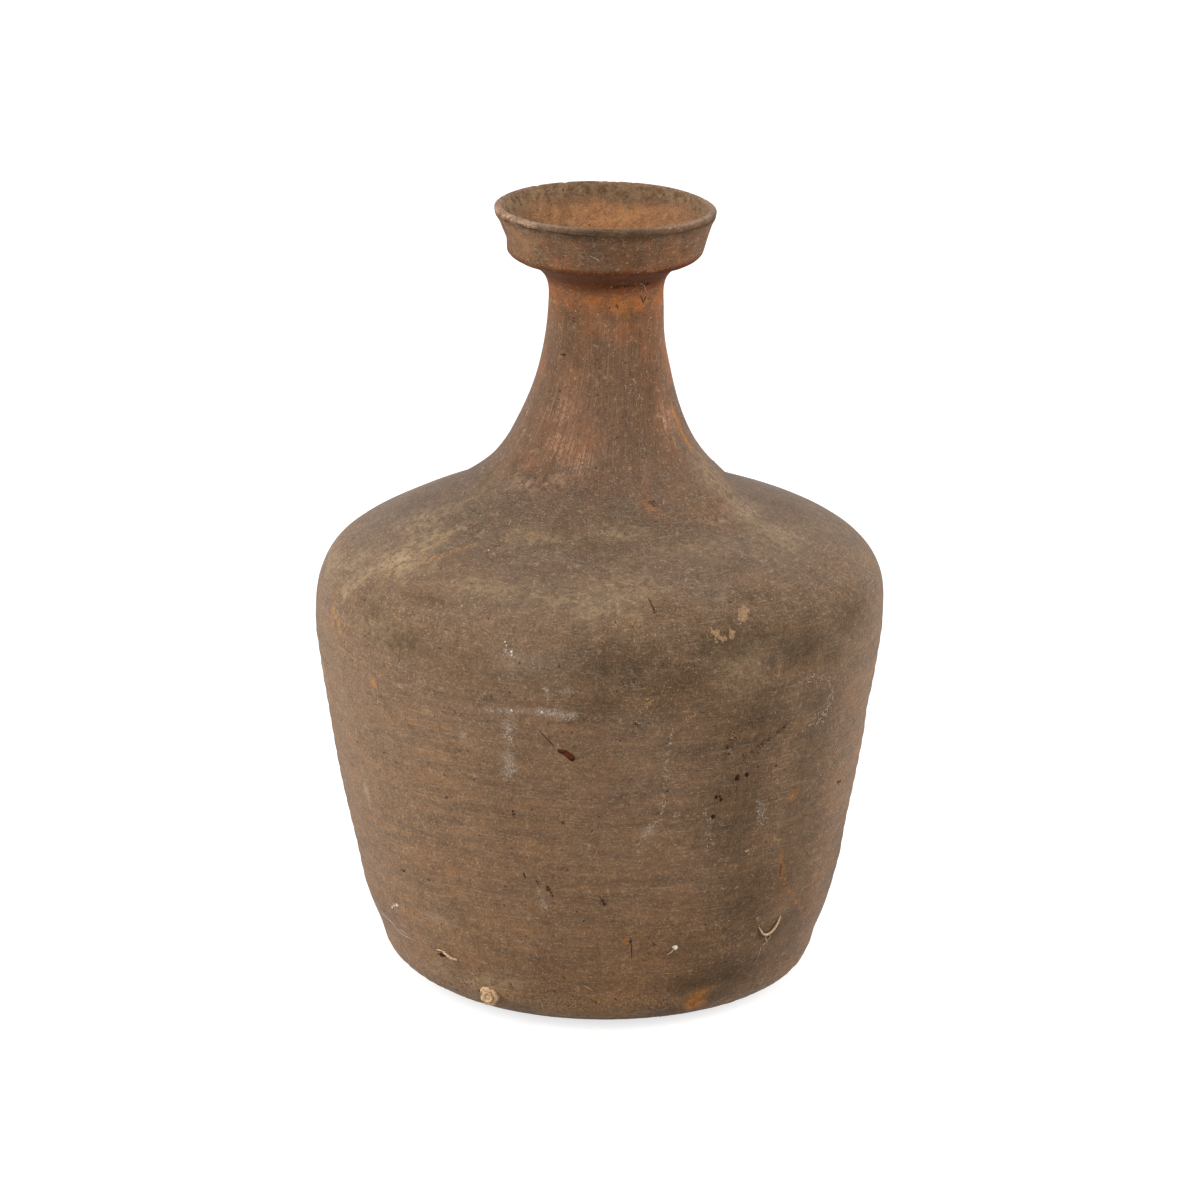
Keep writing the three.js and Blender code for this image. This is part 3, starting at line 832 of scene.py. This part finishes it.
BROWN_CLAY = terracotta("brown_clay")
RED_CLAY = terracotta("red_clay")
CUP_CLAY = terracotta("cup_clay", sheen=0.04)
LUTE_CLAY = terracotta("lute_clay", colour(96, 62, 40), colour(176, 124, 84))

for node in ("base_bowl", "body_wall", "shoulder_dome"):
    turned_section(node, BROWN_CLAY, "brown_terracotta")
turned_section("neck", RED_CLAY, "red_terracotta")
turned_section("mouth_cup", CUP_CLAY, "red_terracotta")
for node in LUTES:
    turned_section(node, LUTE_CLAY, "luting_clay")


def grains_material(name, dark, light, size_mm, roughness):
    """A crumbly deposit whose tone changes from grain to grain."""
    s = Shader(name)
    mottled = s.noise(s.place(), 1.0 / (size_mm * MM), 4.0, 0.75)
    sockets = {
        "Base Color": s.mix(s.ramp(mottled, 0.3, 0.7), colour(*dark), colour(*light)),
        "Roughness": s.ramp(mottled, 0.3, 0.7, roughness - 0.12, roughness),
        "Specular IOR Level": 0.06,
        "Normal": s.bump(mottled, 0.3 * MM, 0.7),
    }
    return s.finish(sockets)


SALT = grains_material("salt_bloom", (150, 131, 113), (206, 191, 176), 0.9, 0.95)
SOOT = grains_material("soot_grains", (30, 22, 17), (72, 50, 38), 0.8, 0.9)
RUST = grains_material("rust_stain", (128, 80, 42), (182, 117, 56), 1.2, 0.95)
OCHRE = grains_material("ochre_smear", (146, 110, 72), (188, 148, 102), 1.2, 0.95)
MUD = grains_material("dry_mud", (116, 90, 66), (166, 134, 102), 1.4, 0.98)
TAR = grains_material("dried_resin", (26, 12, 6), (64, 30, 16), 1.5, 0.6)
SCAB = grains_material("dark_scab", (28, 14, 8), (108, 56, 32), 2.6, 0.8)
CHALK = grains_material("white_chalk", (186, 174, 160), (232, 224, 214), 0.9, 0.9)
STRAW = grains_material("dry_stalk", (160, 124, 90), (222, 192, 156), 1.0, 0.85)

GRAIN_SIDES = 8
TUCK = 0.06 * MM  # how far a deposit's edge goes under the clay's surface
LOWEST_GRAIN = 4.0  # mm
HIGHEST_GRAIN = 394.0  # mm


def grains(name, places, radii, heights, seed, material):
    """Small flattened grains on the outside, as one piece. A place is degrees and mm."""
    pick = np.random.default_rng(seed)
    azimuth, z = np.array(places, float).T
    count = len(azimuth)
    point, around, rise, out = surface(azimuth, z)
    turn = np.arange(GRAIN_SIDES) * 2.0 * math.pi / GRAIN_SIDES + pick.uniform(0, 6, (count, 1))
    reach = np.asarray(radii)[:, None] * MM * pick.uniform(0.65, 1.25, (count, GRAIN_SIDES))
    swell = np.asarray(heights)[:, None] * MM
    rings = []
    for share, lift in ((1.0, np.full_like(swell, -TUCK)), (0.6, 0.8 * swell)):
        across = (share * reach * np.cos(turn))[..., None] * around[:, None]
        along = (share * reach * np.sin(turn))[..., None] * rise[:, None]
        ring = settle((point[:, None] + across + along).reshape(-1, 3)).reshape(count, GRAIN_SIDES, 3)
        rings.append(ring + out[:, None] * lift[..., None])
    tips = (settle(point) + out * swell)[:, None]
    vertices = np.concatenate([*rings, tips], axis=1).reshape(-1, 3)
    tip = 2 * GRAIN_SIDES
    faces = []
    for k in range(GRAIN_SIDES):
        n = (k + 1) % GRAIN_SIDES
        faces.append((k, n, n + GRAIN_SIDES, k + GRAIN_SIDES))
        faces.append((k + GRAIN_SIDES, n + GRAIN_SIDES, tip))
    all_faces = [tuple(i + (tip + 1) * g for i in face) for g in range(count) for face in faces]
    add_mesh(name, vertices, all_faces, material)


def scatter_along(path, count, spread_mm, pick):
    """Places strewn along a line of (degrees, mm) points, thicker in some stretches than in others."""
    path = np.array(path, float)
    path[:, 1] = np.maximum(path[:, 1], LOWEST_GRAIN)
    point, reach = on_pot(path)
    at = np.sort(pick.uniform(0, reach[-1], count))
    at += 1.5 * MM * np.sin(at / MM * 1.3)
    radius = np.interp(at, reach, radius_of(point))
    azimuth = np.interp(at, reach, path[:, 0]) + np.degrees(pick.normal(0, spread_mm * MM, count) / radius)
    height = np.interp(at, reach, path[:, 1]) + pick.normal(0, spread_mm, count)
    return np.column_stack([azimuth, np.clip(height, LOWEST_GRAIN, HIGHEST_GRAIN)])


# Three runs of salt that also hold curled hairs, as (degrees, mm)
LONG_RUN = [(14.8, 170), (13.8, 153.8), (13.6, 137.5), (13.4, 125.5), (11.4, 118.7), (8.3, 108)]
THIN_RUN = [(21.9, 130), (23.4, 121), (24.6, 101)]
RIGHT_RUN = [(45.3, 186), (52.6, 182), (54.9, 173), (53.7, 163)]
# Lines of grains: points (degrees, mm), grains, spread mm
SALT_LINES = [
    ([(-23, 178.2), (-15, 180)], 70, 1.0), ([(-12.3, 180.4), (-4.1, 179)], 190, 0.9),
    ([(-18.2, 173), (-18.5, 163)], 130, 1.5), ([(-18.6, 156), (-18.9, 143)], 170, 1.5),
    ([(-20, 209), (-16, 207)], 26, 1.0), (LONG_RUN + [(9, 94)], 130, 0.25),
    ([(11.6, 119.5), (10.2, 115)], 50, 0.7), (THIN_RUN, 16, 0.8),
    ([(35.8, 126), (36.2, 119), (37, 112), (38.9, 109)], 44, 0.6), ([(48, 158.5), (54, 157)], 40, 0.6),
    (RIGHT_RUN, 26, 0.9), ([(-63, 121), (-61.5, 113), (-61, 104)], 40, 0.8),
    ([(-14, 84), (-12, 72), (-11.5, 66)], 34, 0.35), ([(-28.5, 95), (-27, 89)], 16, 0.3),
    ([(-60.8, 52), (-58.6, 53.8)], 40, 0.5), ([(33.6, 97), (36.4, 98)], 24, 0.25),
    ([(-11, 194), (-10, 190)], 14, 0.5), ([(-8, 192), (-4, 192)], 14, 0.5),
]
SOOT_LINES = [
    ([(41.8, 163), (38, 158), (35, 154.8)], 150, 0.9), ([(35, 154.8), (31, 149)], 60, 1.2),
    ([(28.6, 163), (27.4, 158), (26.6, 152)], 110, 1.4), ([(30, 166), (36, 170)], 50, 1.6),
    ([(-12, 86), (-10.4, 79)], 40, 0.6), ([(0.2, 79), (1.4, 75)], 30, 0.6),
    ([(-17, 91), (-16.8, 89)], 8, 0.3), ([(-52.5, 77), (-51.5, 77)], 14, 0.4),
    ([(-43.2, 77), (-42.6, 77)], 10, 0.4), ([(13, 53), (13.4, 51)], 14, 0.5),
    ([(11.6, 232), (12.4, 226)], 22, 0.35), ([(-47, 329), (-39, 329.3)], 30, 0.35),
    ([(24, 263), (27, 262)], 40, 0.7), ([(36, 366.5), (44, 366)], 40, 0.8),
    ([(6, 366), (36, 366)], 50, 0.5), ([(12, 205), (18, 203)], 40, 1.5),
    ([(45.4, 86), (46.4, 76)], 50, 0.5), ([(7, 54.6), (7.6, 54)], 12, 0.4),
    ([(4, 196), (8, 198)], 26, 1.0), ([(6.5, 174.5), (8.5, 173)], 30, 0.6),
    ([(-18.6, 126), (-18.2, 121)], 18, 0.6), ([(-2, 20), (-1, 18)], 12, 0.5),
]
RUST_LINES = [
    ([(45, 92), (46.4, 77)], 16, 0.6), ([(46.4, 77), (52, 63), (57.6, 53)], 24, 0.8),
    ([(5.8, 54.5), (6.6, 53.5)], 12, 0.6), ([(67, 296), (69, 289), (72, 281)], 90, 0.8),
    ([(24, 268), (23, 258)], 8, 1.0), ([(21.6, 177.6), (22.4, 176.8)], 12, 0.5),
    ([(34, 268), (44, 258)], 26, 4.0), ([(46, 254), (52, 244)], 22, 3.0),
    ([(30, 250), (34, 246)], 14, 2.0),
]
OCHRE_LINES = [
    ([(-53, 236), (-49, 238), (-45.7, 240.8)], 150, 0.7),
    ([(-45.7, 240.8), (-43.9, 242.7), (-41.1, 244.6)], 60, 0.4), ([(-37, 243.6), (-31, 243)], 50, 0.8),
    ([(-69.8, 206.6), (-66.3, 201.9), (-64, 196.3)], 220, 0.8),
    ([(-54.4, 240.1), (-54.6, 243.1), (-55.9, 244.8)], 120, 0.6),
    ([(-57.3, 226.4), (-55.9, 236.6), (-54.6, 243.1)], 130, 0.6), ([(-29, 231), (-24, 226)], 40, 2.0),
    ([(2, 224), (10, 221)], 60, 2.0), ([(8, 186), (16, 192)], 70, 3.0), ([(40, 262), (56, 244)], 90, 3.0),
    ([(-20, 228), (20, 234)], 120, 6.0), ([(-62, 250), (-50, 240)], 60, 3.0),
    ([(17, 174), (20, 178)], 60, 1.2), ([(7.5, 181), (10.5, 185.5)], 70, 1.0),
    ([(-10, 12), (14, 12)], 160, 2.5), ([(-40, 15), (-10, 12)], 130, 3.0),
    ([(20, 40), (50, 60)], 60, 8.0),
]
CRUMB_LINES = [
    ([(-12, 16), (16, 16)], 150, 3.0), ([(-48, 20), (-12, 17)], 70, 4.0),
    ([(90, 16), (270, 16)], 200, 4.0),
]
PIT_LINES = [([(-46, 21), (18, 17)], 90, 4.0), ([(90, 18), (270, 18)], 120, 5.0)]
MUD_LINES = [
    ([(-65, 16), (-20, 9)], 190, 4.0), ([(-20, 9), (30, 8)], 220, 4.0), ([(70, 12), (180, 9)], 260, 5.0),
    ([(180, 9), (290, 12)], 260, 5.0), ([(40, 56.5), (41.4, 56)], 20, 0.8),
    ([(43.4, 29), (43.8, 29)], 10, 0.6), ([(42.5, 106), (43, 105.8)], 12, 0.35),
    ([(7, 53), (7.8, 52.4)], 12, 0.5), ([(31, 243), (35, 243.5)], 26, 1.0),
    ([(60, 256), (70, 252)], 70, 2.5),
]


def unseen_lines(count, seed, low, high, grain_count, spread):
    """Short crooked lines of grains scattered over the back."""
    pick = np.random.default_rng(seed)
    lines = []
    for _ in range(count):
        start = np.array([pick.uniform(*BACK), pick.uniform(low, high)])
        steps = np.column_stack([pick.normal(0, 2.5, 3), pick.normal(-5, 5, 3)])
        path = np.concatenate([[start], start + np.cumsum(steps, axis=0)])
        lines.append((path, int(pick.integers(*grain_count)), pick.uniform(*spread)))
    return lines


def ring_line(azimuth, height, radius_mm, count, spread):
    """A line of grains three times round a small ring."""
    point, _, rise, _ = surface(azimuth, height)
    turn = np.linspace(0.0, 6.0 * math.pi, 49)
    across = azimuth + np.degrees(radius_mm * MM * np.cos(turn) / radius_of(point)[0])
    along = height + radius_mm * np.sin(turn) * rise[0, 2]
    return np.column_stack([across, along]), count, spread


MUD_LINES += [ring_line(-33.3, 247.5, 2.2, 60, 0.25), ring_line(-23.8, 249.4, 2.8, 75, 0.3)]
SALT_LINES += unseen_lines(9, 111, 60, 225, (40, 110), (0.3, 1.2))
SOOT_LINES += unseen_lines(7, 112, 40, 240, (20, 70), (0.4, 1.6))
RUST_LINES += unseen_lines(4, 113, 40, 290, (20, 60), (0.5, 1.2))
OCHRE_LINES += unseen_lines(12, 114, 20, 250, (30, 90), (0.6, 3.0))


def strewn(seed, count, low, high):
    """Places strewn evenly over the whole outside between two heights."""
    pick = np.random.default_rng(seed)
    return np.column_stack([pick.uniform(-180, 180, count), pick.uniform(low, high, count)])


def deposits(name, lines, loose, radius, height, material, seed):
    """All grains of one kind: those in lines and those strewn loosely."""
    pick = np.random.default_rng(seed)
    places = [scatter_along(path, count, spread, pick) for path, count, spread in lines]
    places = np.concatenate([*places, strewn(seed + 1, loose, 8, 392)])
    radii = radius[0] + (radius[1] - radius[0]) * pick.power(0.6, len(places))
    grains(name, places, radii, pick.uniform(*height, len(places)), seed + 2, material)


deposits("salt_grains", SALT_LINES, 600, (0.1, 0.4), (0.05, 0.12), SALT, 31)
deposits("soot_grains", SOOT_LINES, 420, (0.12, 0.55), (0.04, 0.1), SOOT, 41)
deposits("rust_grains", RUST_LINES, 140, (0.15, 0.7), (0.03, 0.1), RUST, 51)
deposits("ochre_grains", OCHRE_LINES, 500, (0.12, 0.5), (0.03, 0.1), OCHRE, 101)
deposits("heel_crumbs", CRUMB_LINES, 0, (0.3, 0.9), (0.2, 0.6), MUD, 121)
deposits("heel_pits", PIT_LINES, 0, (0.25, 0.6), (0.03, 0.08), SOOT, 131)
deposits("mud_grains", MUD_LINES, 420, (0.15, 0.6), (0.05, 0.16), MUD, 61)

# Drops of dried resin: degrees, mm, radius mm
RESIN_DROPS = [
    (30, 139, 1.8), (32.4, 140, 1.4), (25.4, 130.4, 1.1), (26.5, 128.8, 1.1), (26.3, 130.6, 0.8),
    (25, 120, 1.4), (40, 141, 0.8), (64.6, 117, 1.1), (65.8, 116.5, 0.9), (35, 143, 0.6), (132, 160, 1.3),
    (134, 158, 0.9), (205, 96, 1.2), (206.5, 92, 0.8), (243, 182, 1.0), (168, 64, 0.9), (96, 138, 0.8),
]
drops = np.array(RESIN_DROPS)
grains("resin_drops", drops[:, :2], drops[:, 2], 0.35 * drops[:, 2], 71, TAR)

FLAKE_CELL = 0.35 * MM


def flakes(name, places, material, seed, raggedness=1.0):
    """Ragged crusts. A place is degrees, mm, half length mm, half width mm, tilt degrees, thickness mm."""
    vertices, faces = [], []
    reach = (1.15 + 0.65 * raggedness) * MM
    for number, (azimuth, z, half_length, half_width, tilt, thickness) in enumerate(places):
        long, wide = reach * half_length, reach * half_width
        u = np.arange(-long, long + FLAKE_CELL, FLAKE_CELL)
        v = np.arange(-wide, wide + FLAKE_CELL, FLAKE_CELL)
        uu, vv = (grid.ravel() for grid in np.meshgrid(u, v, indexing="ij"))
        sheet = np.column_stack([uu, vv, np.full(len(uu), 0.1 * (seed + number))])
        ragged = 0.4 * mottle(sheet, 2.4 * MM, seed) + 0.3 * mottle(sheet, 1.0 * MM, seed + 1)
        depth = 1.0 - np.hypot(uu / (half_length * MM), vv / (half_width * MM)) + raggedness * ragged
        uneven = 1.0 + 0.35 * mottle(sheet, 0.9 * MM, seed + 2)
        lift = thickness * MM * smooth(depth, 0.0, 0.45) * uneven - TUCK
        turn = math.radians(tilt)
        point, _, rise, _ = surface(azimuth, z)
        across = uu * math.cos(turn) - vv * math.sin(turn)
        along = uu * math.sin(turn) + vv * math.cos(turn)
        around = azimuth + np.degrees(across / radius_of(point)[0])
        ground, _, _, out = surface(around, z + along / MM * rise[0, 2])
        placed = settle(ground) + out * lift[:, None]
        keep = depth > -0.12
        start = len(vertices)
        used = {}
        columns = len(v)
        for i, j in itertools.product(range(len(u) - 1), range(columns - 1)):
            first = i * columns + j
            corner = [first, first + columns, first + columns + 1, first + 1]
            if keep[corner].all():
                for c in corner:
                    if c not in used:
                        used[c] = start + len(used)
                        vertices.append(placed[c])
                faces.append([used[c] for c in corner])
    add_mesh(name, np.array(vertices), faces, material)


MUD_FLAKES = [
    (31.6, 222, 4.6, 2.5, 60, 0.35), (27.6, 215, 3.4, 2.6, 75, 0.18), (24.4, 216, 3.0, 2.2, 100, 0.16),
    (26, 213.6, 3.4, 1.6, 10, 0.14), (150, 206, 4, 3, 20, 0.3), (215, 150, 5, 2.4, 60, 0.3),
]
flakes("mud_flakes", MUD_FLAKES, MUD, 81, 2.0)
flakes("rust_patch", [(26.1, 12.6, 3.4, 3.4, 20, 0.12), (27.4, 16.4, 2.2, 2.0, 30, 0.1)], RUST, 84)
flakes("dark_scab", [(-6.2, 157.4, 5.6, 2.0, -33, 0.55)], SCAB, 87, 0.6)
flakes("crumb_foot", [(-33.6, 15, 2.6, 2.2, 40, 0.9), (-31.5, 12.4, 3.0, 1.6, 0, 0.7)], MUD, 90)

CRUMB_SIDES = 72
CRUMB_RINGS = 18
CRUMB_TILT = 0.45  # how much its face looks up from the clay that it sits on
CRUMB_STANDS = 1.4 * MM  # how far its middle is off the clay
CRUMB_SKIRT = 5.0 * MM


def crumb_material():
    """Pale clay, with painted shade in the hollows that its mesh marks."""
    s = Shader("pale_crumb")
    grain = s.noise(s.place(), 900.0, 3.0, 0.8)
    pale = s.mix(s.ramp(grain, 0.3, 0.7), colour(176, 142, 106), colour(220, 186, 146))
    sockets = {
        "Base Color": s.mix(s.attribute("hollow"), pale, colour(104, 76, 50)),
        "Roughness": s.ramp(grain, 0.3, 0.7, 0.84, 0.96),
        "Specular IOR Level": 0.1,
        "Normal": s.bump(grain, 0.3 * MM, 0.7),
    }
    return s.finish(sockets)


def clay_crumb(azimuth, z, radius_mm, thickness_mm):
    """A stuck-on button of pale clay: a ragged disc with a ring round a sunken middle."""
    point, around, rise, out = (part[0] for part in surface(azimuth, z))
    out = out + CRUMB_TILT * np.array([0.0, 0.0, 1.0])
    out /= np.linalg.norm(out)
    rise = np.cross(out, around)
    centre = settle(point[None])[0] + out * CRUMB_STANDS
    angle = np.arange(CRUMB_SIDES) * 2.0 * math.pi / CRUMB_SIDES
    ragged = 0.09 * np.cos(7 * angle + 0.6) + 0.05 * np.cos(3 * angle) + 0.05 * np.sin(12 * angle + 1)
    ragged += 0.22 * hump(angle, 2.3, 0.4) + 0.12 * hump(angle, 3.4, 0.25)
    vertices = [centre + out * 0.7 * thickness_mm * MM]
    # Painted shade: the sunken middle, the grooves, the edge and the skirt are darker
    hollow = [0.35]
    shares = np.linspace(0.0, 1.0, CRUMB_RINGS + 1)[1:]
    for share in shares:
        reach = share * radius_mm * MM * (1.0 + ragged * smooth(share, 0.3, 1.0))
        height = 0.8 + 0.14 * hump(share, 0.48, 0.1) - 0.16 * hump(share, 0.25, 0.12)
        height -= 0.35 * smooth(share, 0.56, 0.66)
        height = height * (1.0 - 0.8 * smooth(share, 0.86, 1.0)) - 0.4 * smooth(share, 0.97, 1.0)
        rough = 0.2 * np.sin(5 * angle + 9 * share) + 0.16 * np.sin(13 * angle - 17 * share)
        lift = (height * thickness_mm + rough * share) * MM
        ring = centre + np.outer(reach * np.cos(angle), around) + np.outer(reach * np.sin(angle), rise)
        vertices.extend(ring + np.outer(lift, out))
        groove = 0.5 * hump(share, 0.62, 0.06) + 0.25 * hump(share, 0.25, 0.08)
        groove += 0.6 * smooth(share, 0.93, 1.0)
        hollow.extend(np.clip(groove * (1.0 + 0.5 * np.sin(6 * angle + 2)), 0.0, 1.0))
    vertices.extend(np.array(vertices[-CRUMB_SIDES:]) - out * CRUMB_SKIRT)
    hollow.extend([0.6] * CRUMB_SIDES)
    n = CRUMB_SIDES
    faces = [(0, 1 + k, 1 + (k + 1) % n) for k in range(n)]
    for row in range(CRUMB_RINGS):
        low, high = 1 + n * row, 1 + n * (row + 1)
        faces.extend((low + k, high + k, high + (k + 1) % n, low + (k + 1) % n) for k in range(n))
    crumb = add_mesh("clay_crumb", vertices, faces, crumb_material())
    write_values(crumb.data, "hollow", hollow)


clay_crumb(-30.6, 16, 5.0, 2.8)


def strands(name, paths, material):
    """Thin round fibres that taper to both ends. A path is its (degrees, mm) places, radius mm, lift mm."""
    curve = bpy.data.curves.new(name, "CURVE")
    curve.dimensions = "3D"
    curve.bevel_depth = MM
    curve.bevel_resolution = 2
    curve.use_fill_caps = True
    for places, radius_mm, lift_mm in paths:
        fine = smooth_run(np.array(places, float), 0.4)
        point, _, _, out = surface(fine[:, 0], fine[:, 1])
        share = np.linspace(0.0, 1.0, len(fine))
        arch = lift_mm * MM * np.sin(math.pi * share) + 0.5 * radius_mm * MM
        taper = 0.35 + 0.65 * np.sin(math.pi * np.clip(share, 0.04, 0.96)) ** 0.5
        line = curve.splines.new("POLY")
        line.points.add(len(fine) - 1)
        for spot, place, thick in zip(line.points, settle(point) + out * arch[:, None], taper):
            spot.co = (*place, 1.0)
            spot.radius = radius_mm * thick
    curve.materials.append(material)
    add_piece(name, curve)


def curls(path, count, spread_mm, pick):
    """Short curled hairs strewn along a line."""
    found = []
    for azimuth, z in scatter_along(path, count, spread_mm, pick):
        radius = outer_radius(z * MM) / MM
        heading = pick.uniform(0, 2 * math.pi) + np.cumsum(pick.normal(0, 0.9, 4))
        step = pick.uniform(0.3, 0.8)
        across = azimuth + np.degrees(np.cumsum(step * np.cos(heading)) / radius)
        along = np.maximum(z + np.cumsum(step * np.sin(heading)), LOWEST_GRAIN)
        found.append((np.column_stack([across, along]), pick.uniform(0.09, 0.16), 0.05))
    return found


# Straws and hairs: points (degrees, mm), radius mm, lift mm
STRAWS = [
    ([(-42.6, 36.2), (-41.2, 36.1), (-40, 35.0), (-38.2, 34.2)], 0.75, 0.8),
    ([(-45, 36.6), (-43.6, 37.2), (-42, 36.8)], 0.4, 0.3),
    ([(41.8, 51.2), (42.7, 48.6), (43.6, 46.7), (44.8, 46), (46, 46.8), (47.6, 49.6), (49, 53.8)], 0.62, 0.9),
    ([(45.2, 46), (44.8, 43.4), (45.6, 41.8), (44.6, 39.4)], 0.22, 0.5),
    ([(45.4, 45.8), (46.6, 43.4), (46.2, 41.6)], 0.18, 0.4),
    ([(44.2, 39), (44, 34), (43.8, 30)], 0.12, 0.3),
    ([(18.3, 47.9), (17.6, 46.6), (16.8, 45.2)], 0.34, 0.3), ([(-16, 9), (-15.6, 16)], 0.18, 0.1),
    ([(-4, 29), (-2.6, 27.4), (-1.6, 26)], 0.2, 0.2),
]
strands("straw_bits", STRAWS, STRAW)
flakes("straw_hollow", [(-43.6, 34.2, 3.4, 1.3, 4, 0.3), (17.6, 45.6, 1.2, 0.5, 50, 0.12)], SOOT, 93)
CRACKS = [
    [(-12, 86.5), (-11.2, 83), (-10.4, 79.5)], [(0.3, 79.5), (1.4, 75)], [(-17, 91.5), (-16.6, 88.5)],
    [(-14.2, 88), (-13.6, 85)], [(11.6, 232), (12.3, 226.5)], [(-47, 329.2), (-39.5, 329.2)],
    [(6, 366.4), (16, 366.8), (26, 366.2)], [(28, 366.6), (44, 366)], [(-52.6, 77.6), (-51.6, 76.6)],
    [(-43.3, 77.4), (-42.5, 76.8)], [(36, 360), (40, 355.5)], [(40, 356), (43, 359)],
    [(13, 53), (13.4, 51)], [(-54, 397.6), (-46, 396.4), (-38, 397)],
    [(-32, 397.2), (-18, 396.6), (-5, 396.9)], [(7.6, 56), (8, 44)], [(-40.6, 37.6), (-40, 37)],
    [(10, 357), (12, 354)],
]
dark_lines = [(path, 0.2, -0.05) for path in CRACKS]
dark_lines.append(([(-12, 170.4), (-10.6, 166.4), (-9, 162)], 0.16, 0.0))
strands("cracks", dark_lines, SOOT)
SALT_HAIRS = [
    ([(-71.4, 41.5), (-67, 41), (-64.2, 40), (-62.2, 37.4), (-58.4, 36.4), (-53.6, 37)], 0.15, 0.0),
    ([(-62, 37.5), (-60, 38.6), (-57, 38)], 0.1, 0.0),
    ([(-9, 386.6), (-6, 385.6), (-3.6, 384.2)], 0.16, 0.2),
    ([(30, 367), (36, 366), (40, 363), (43, 361)], 0.1, 0.3),
]
# Lines of curled hairs: points (degrees, mm), hairs, spread mm
CURL_LINES = [
    (LONG_RUN, 40, 0.3), (RIGHT_RUN + [(50.4, 158.7)], 70, 1.3), ([(20, 318), (27, 306)], 6, 2.0),
    (THIN_RUN, 12, 0.9), ([(36.2, 124), (38.9, 110)], 20, 0.8), ([(-60, 40), (20, 60)], 20, 14),
    ([(-60, 240), (60, 240)], 18, 16), ([(-70, 120), (70, 120)], 30, 30),
    ([(100, 130), (260, 130)], 50, 40),
]
hair_pick = np.random.default_rng(97)
for path, count, spread in CURL_LINES:
    SALT_HAIRS += curls(path, count, spread, hair_pick)
strands("salt_hairs", SALT_HAIRS, SALT)
# White beads: degrees, mm, radius mm, height mm
BEADS = [
    (18.5, 48.8, 1.4, 1.7), (-58.1, 53.8, 1.1, 0.4), (-60.8, 50.9, 0.8, 0.3), (-59.4, 52.6, 0.5, 0.25),
    (-19.2, 213.8, 0.55, 0.2), (-18.8, 212.3, 0.4, 0.15), (-17.6, 209.6, 0.7, 0.25),
    (-17.5, 208, 0.55, 0.2), (-17.5, 179.7, 0.8, 0.25), (-11.3, 180.4, 0.7, 0.25),
    (-35.4, 243.5, 0.5, 0.2),
]
beads = np.array(BEADS)
grains("white_beads", beads[:, :2], beads[:, 2], beads[:, 3], 95, CHALK)

FLOOR_Z = -0.1 * MM  # a hair under the jug, so that the two flats don't share a plane
FLOOR_HALF = 9.0
FLOOR_GLOW = 0.72  # with the light that falls on it, this makes the floor white
WORLD_STRENGTH = 0.45
MIDDLE = (0.0, 0.0, 0.2)  # of the jug
# Lamps: name, place, size, watts
SOFTBOXES = [
    ("left_softbox", (-2.4, -0.2, 1.25), (2.0, 2.0), 70.0),
    ("right_softbox", (2.4, -0.2, 1.25), (2.0, 2.0), 58.0),
    ("front_softbox", (0.0, -2.4, 1.9), (2.4, 1.8), 26.5),
]
CAMERA_PLACE = (0.5 * MM, -3.8268, 1.3642)
CAMERA_FALL = 16.992  # degrees that it looks down
CAMERA_LENS = 237.8


def white_floor():
    """A plain pale floor that keeps the jug's shadow and meets the camera as white."""
    mesh = bpy.data.meshes.new("floor")
    corners = ((-1, -1), (1, -1), (1, 1), (-1, 1))
    mesh.from_pydata([(x * FLOOR_HALF, y * FLOOR_HALF, FLOOR_Z) for x, y in corners], [], [(0, 1, 2, 3)])
    s = Shader("floor_white")
    path = s.add("ShaderNodeLightPath", {}).outputs
    sockets = {
        "Base Color": (0.5, 0.5, 0.5, 1.0),
        "Roughness": 1.0,
        "Specular IOR Level": 0.0,
        "Emission Color": (1.0, 1.0, 1.0, 1.0),
        "Emission Strength": s.times(s.largest(path["Is Camera Ray"], path["Is Glossy Ray"]), FLOOR_GLOW),
    }
    mesh.materials.append(s.finish(sockets))
    floor = link("floor", mesh)


def studio_world(strength):
    """Even white surroundings."""
    world = bpy.data.worlds.new("studio")
    world.use_nodes = True
    background = world.node_tree.nodes["Background"]
    background.inputs["Color"].default_value = (1.0, 1.0, 1.0, 1.0)
    background.inputs["Strength"].default_value = strength
    bpy.context.scene.world = world


def softbox(name, place, size, power):
    """A large soft lamp that faces the jug's middle."""
    lamp = bpy.data.lights.new(name, "AREA")
    lamp.shape = "RECTANGLE"
    lamp.size, lamp.size_y = size
    lamp.energy = power
    holder = link(name, lamp)
    holder.location = place
    holder.rotation_euler = (Vector(MIDDLE) - Vector(place)).to_track_quat("-Z", "Y").to_euler()


def photo_camera():
    """A long lens, a little above the jug."""
    lens = bpy.data.cameras.new("camera")
    lens.sensor_width = 36.0
    lens.lens = CAMERA_LENS
    lens.clip_end = 50.0
    camera = link("camera", lens)
    camera.location = CAMERA_PLACE
    camera.rotation_euler = (math.radians(90.0 - CAMERA_FALL), 0.0, 0.0)
    bpy.context.scene.camera = camera


white_floor()
studio_world(WORLD_STRENGTH)
for name, place, size, power in SOFTBOXES:
    softbox(name, place, size, power)
photo_camera()
bpy.context.scene.view_settings.view_transform = "Standard"
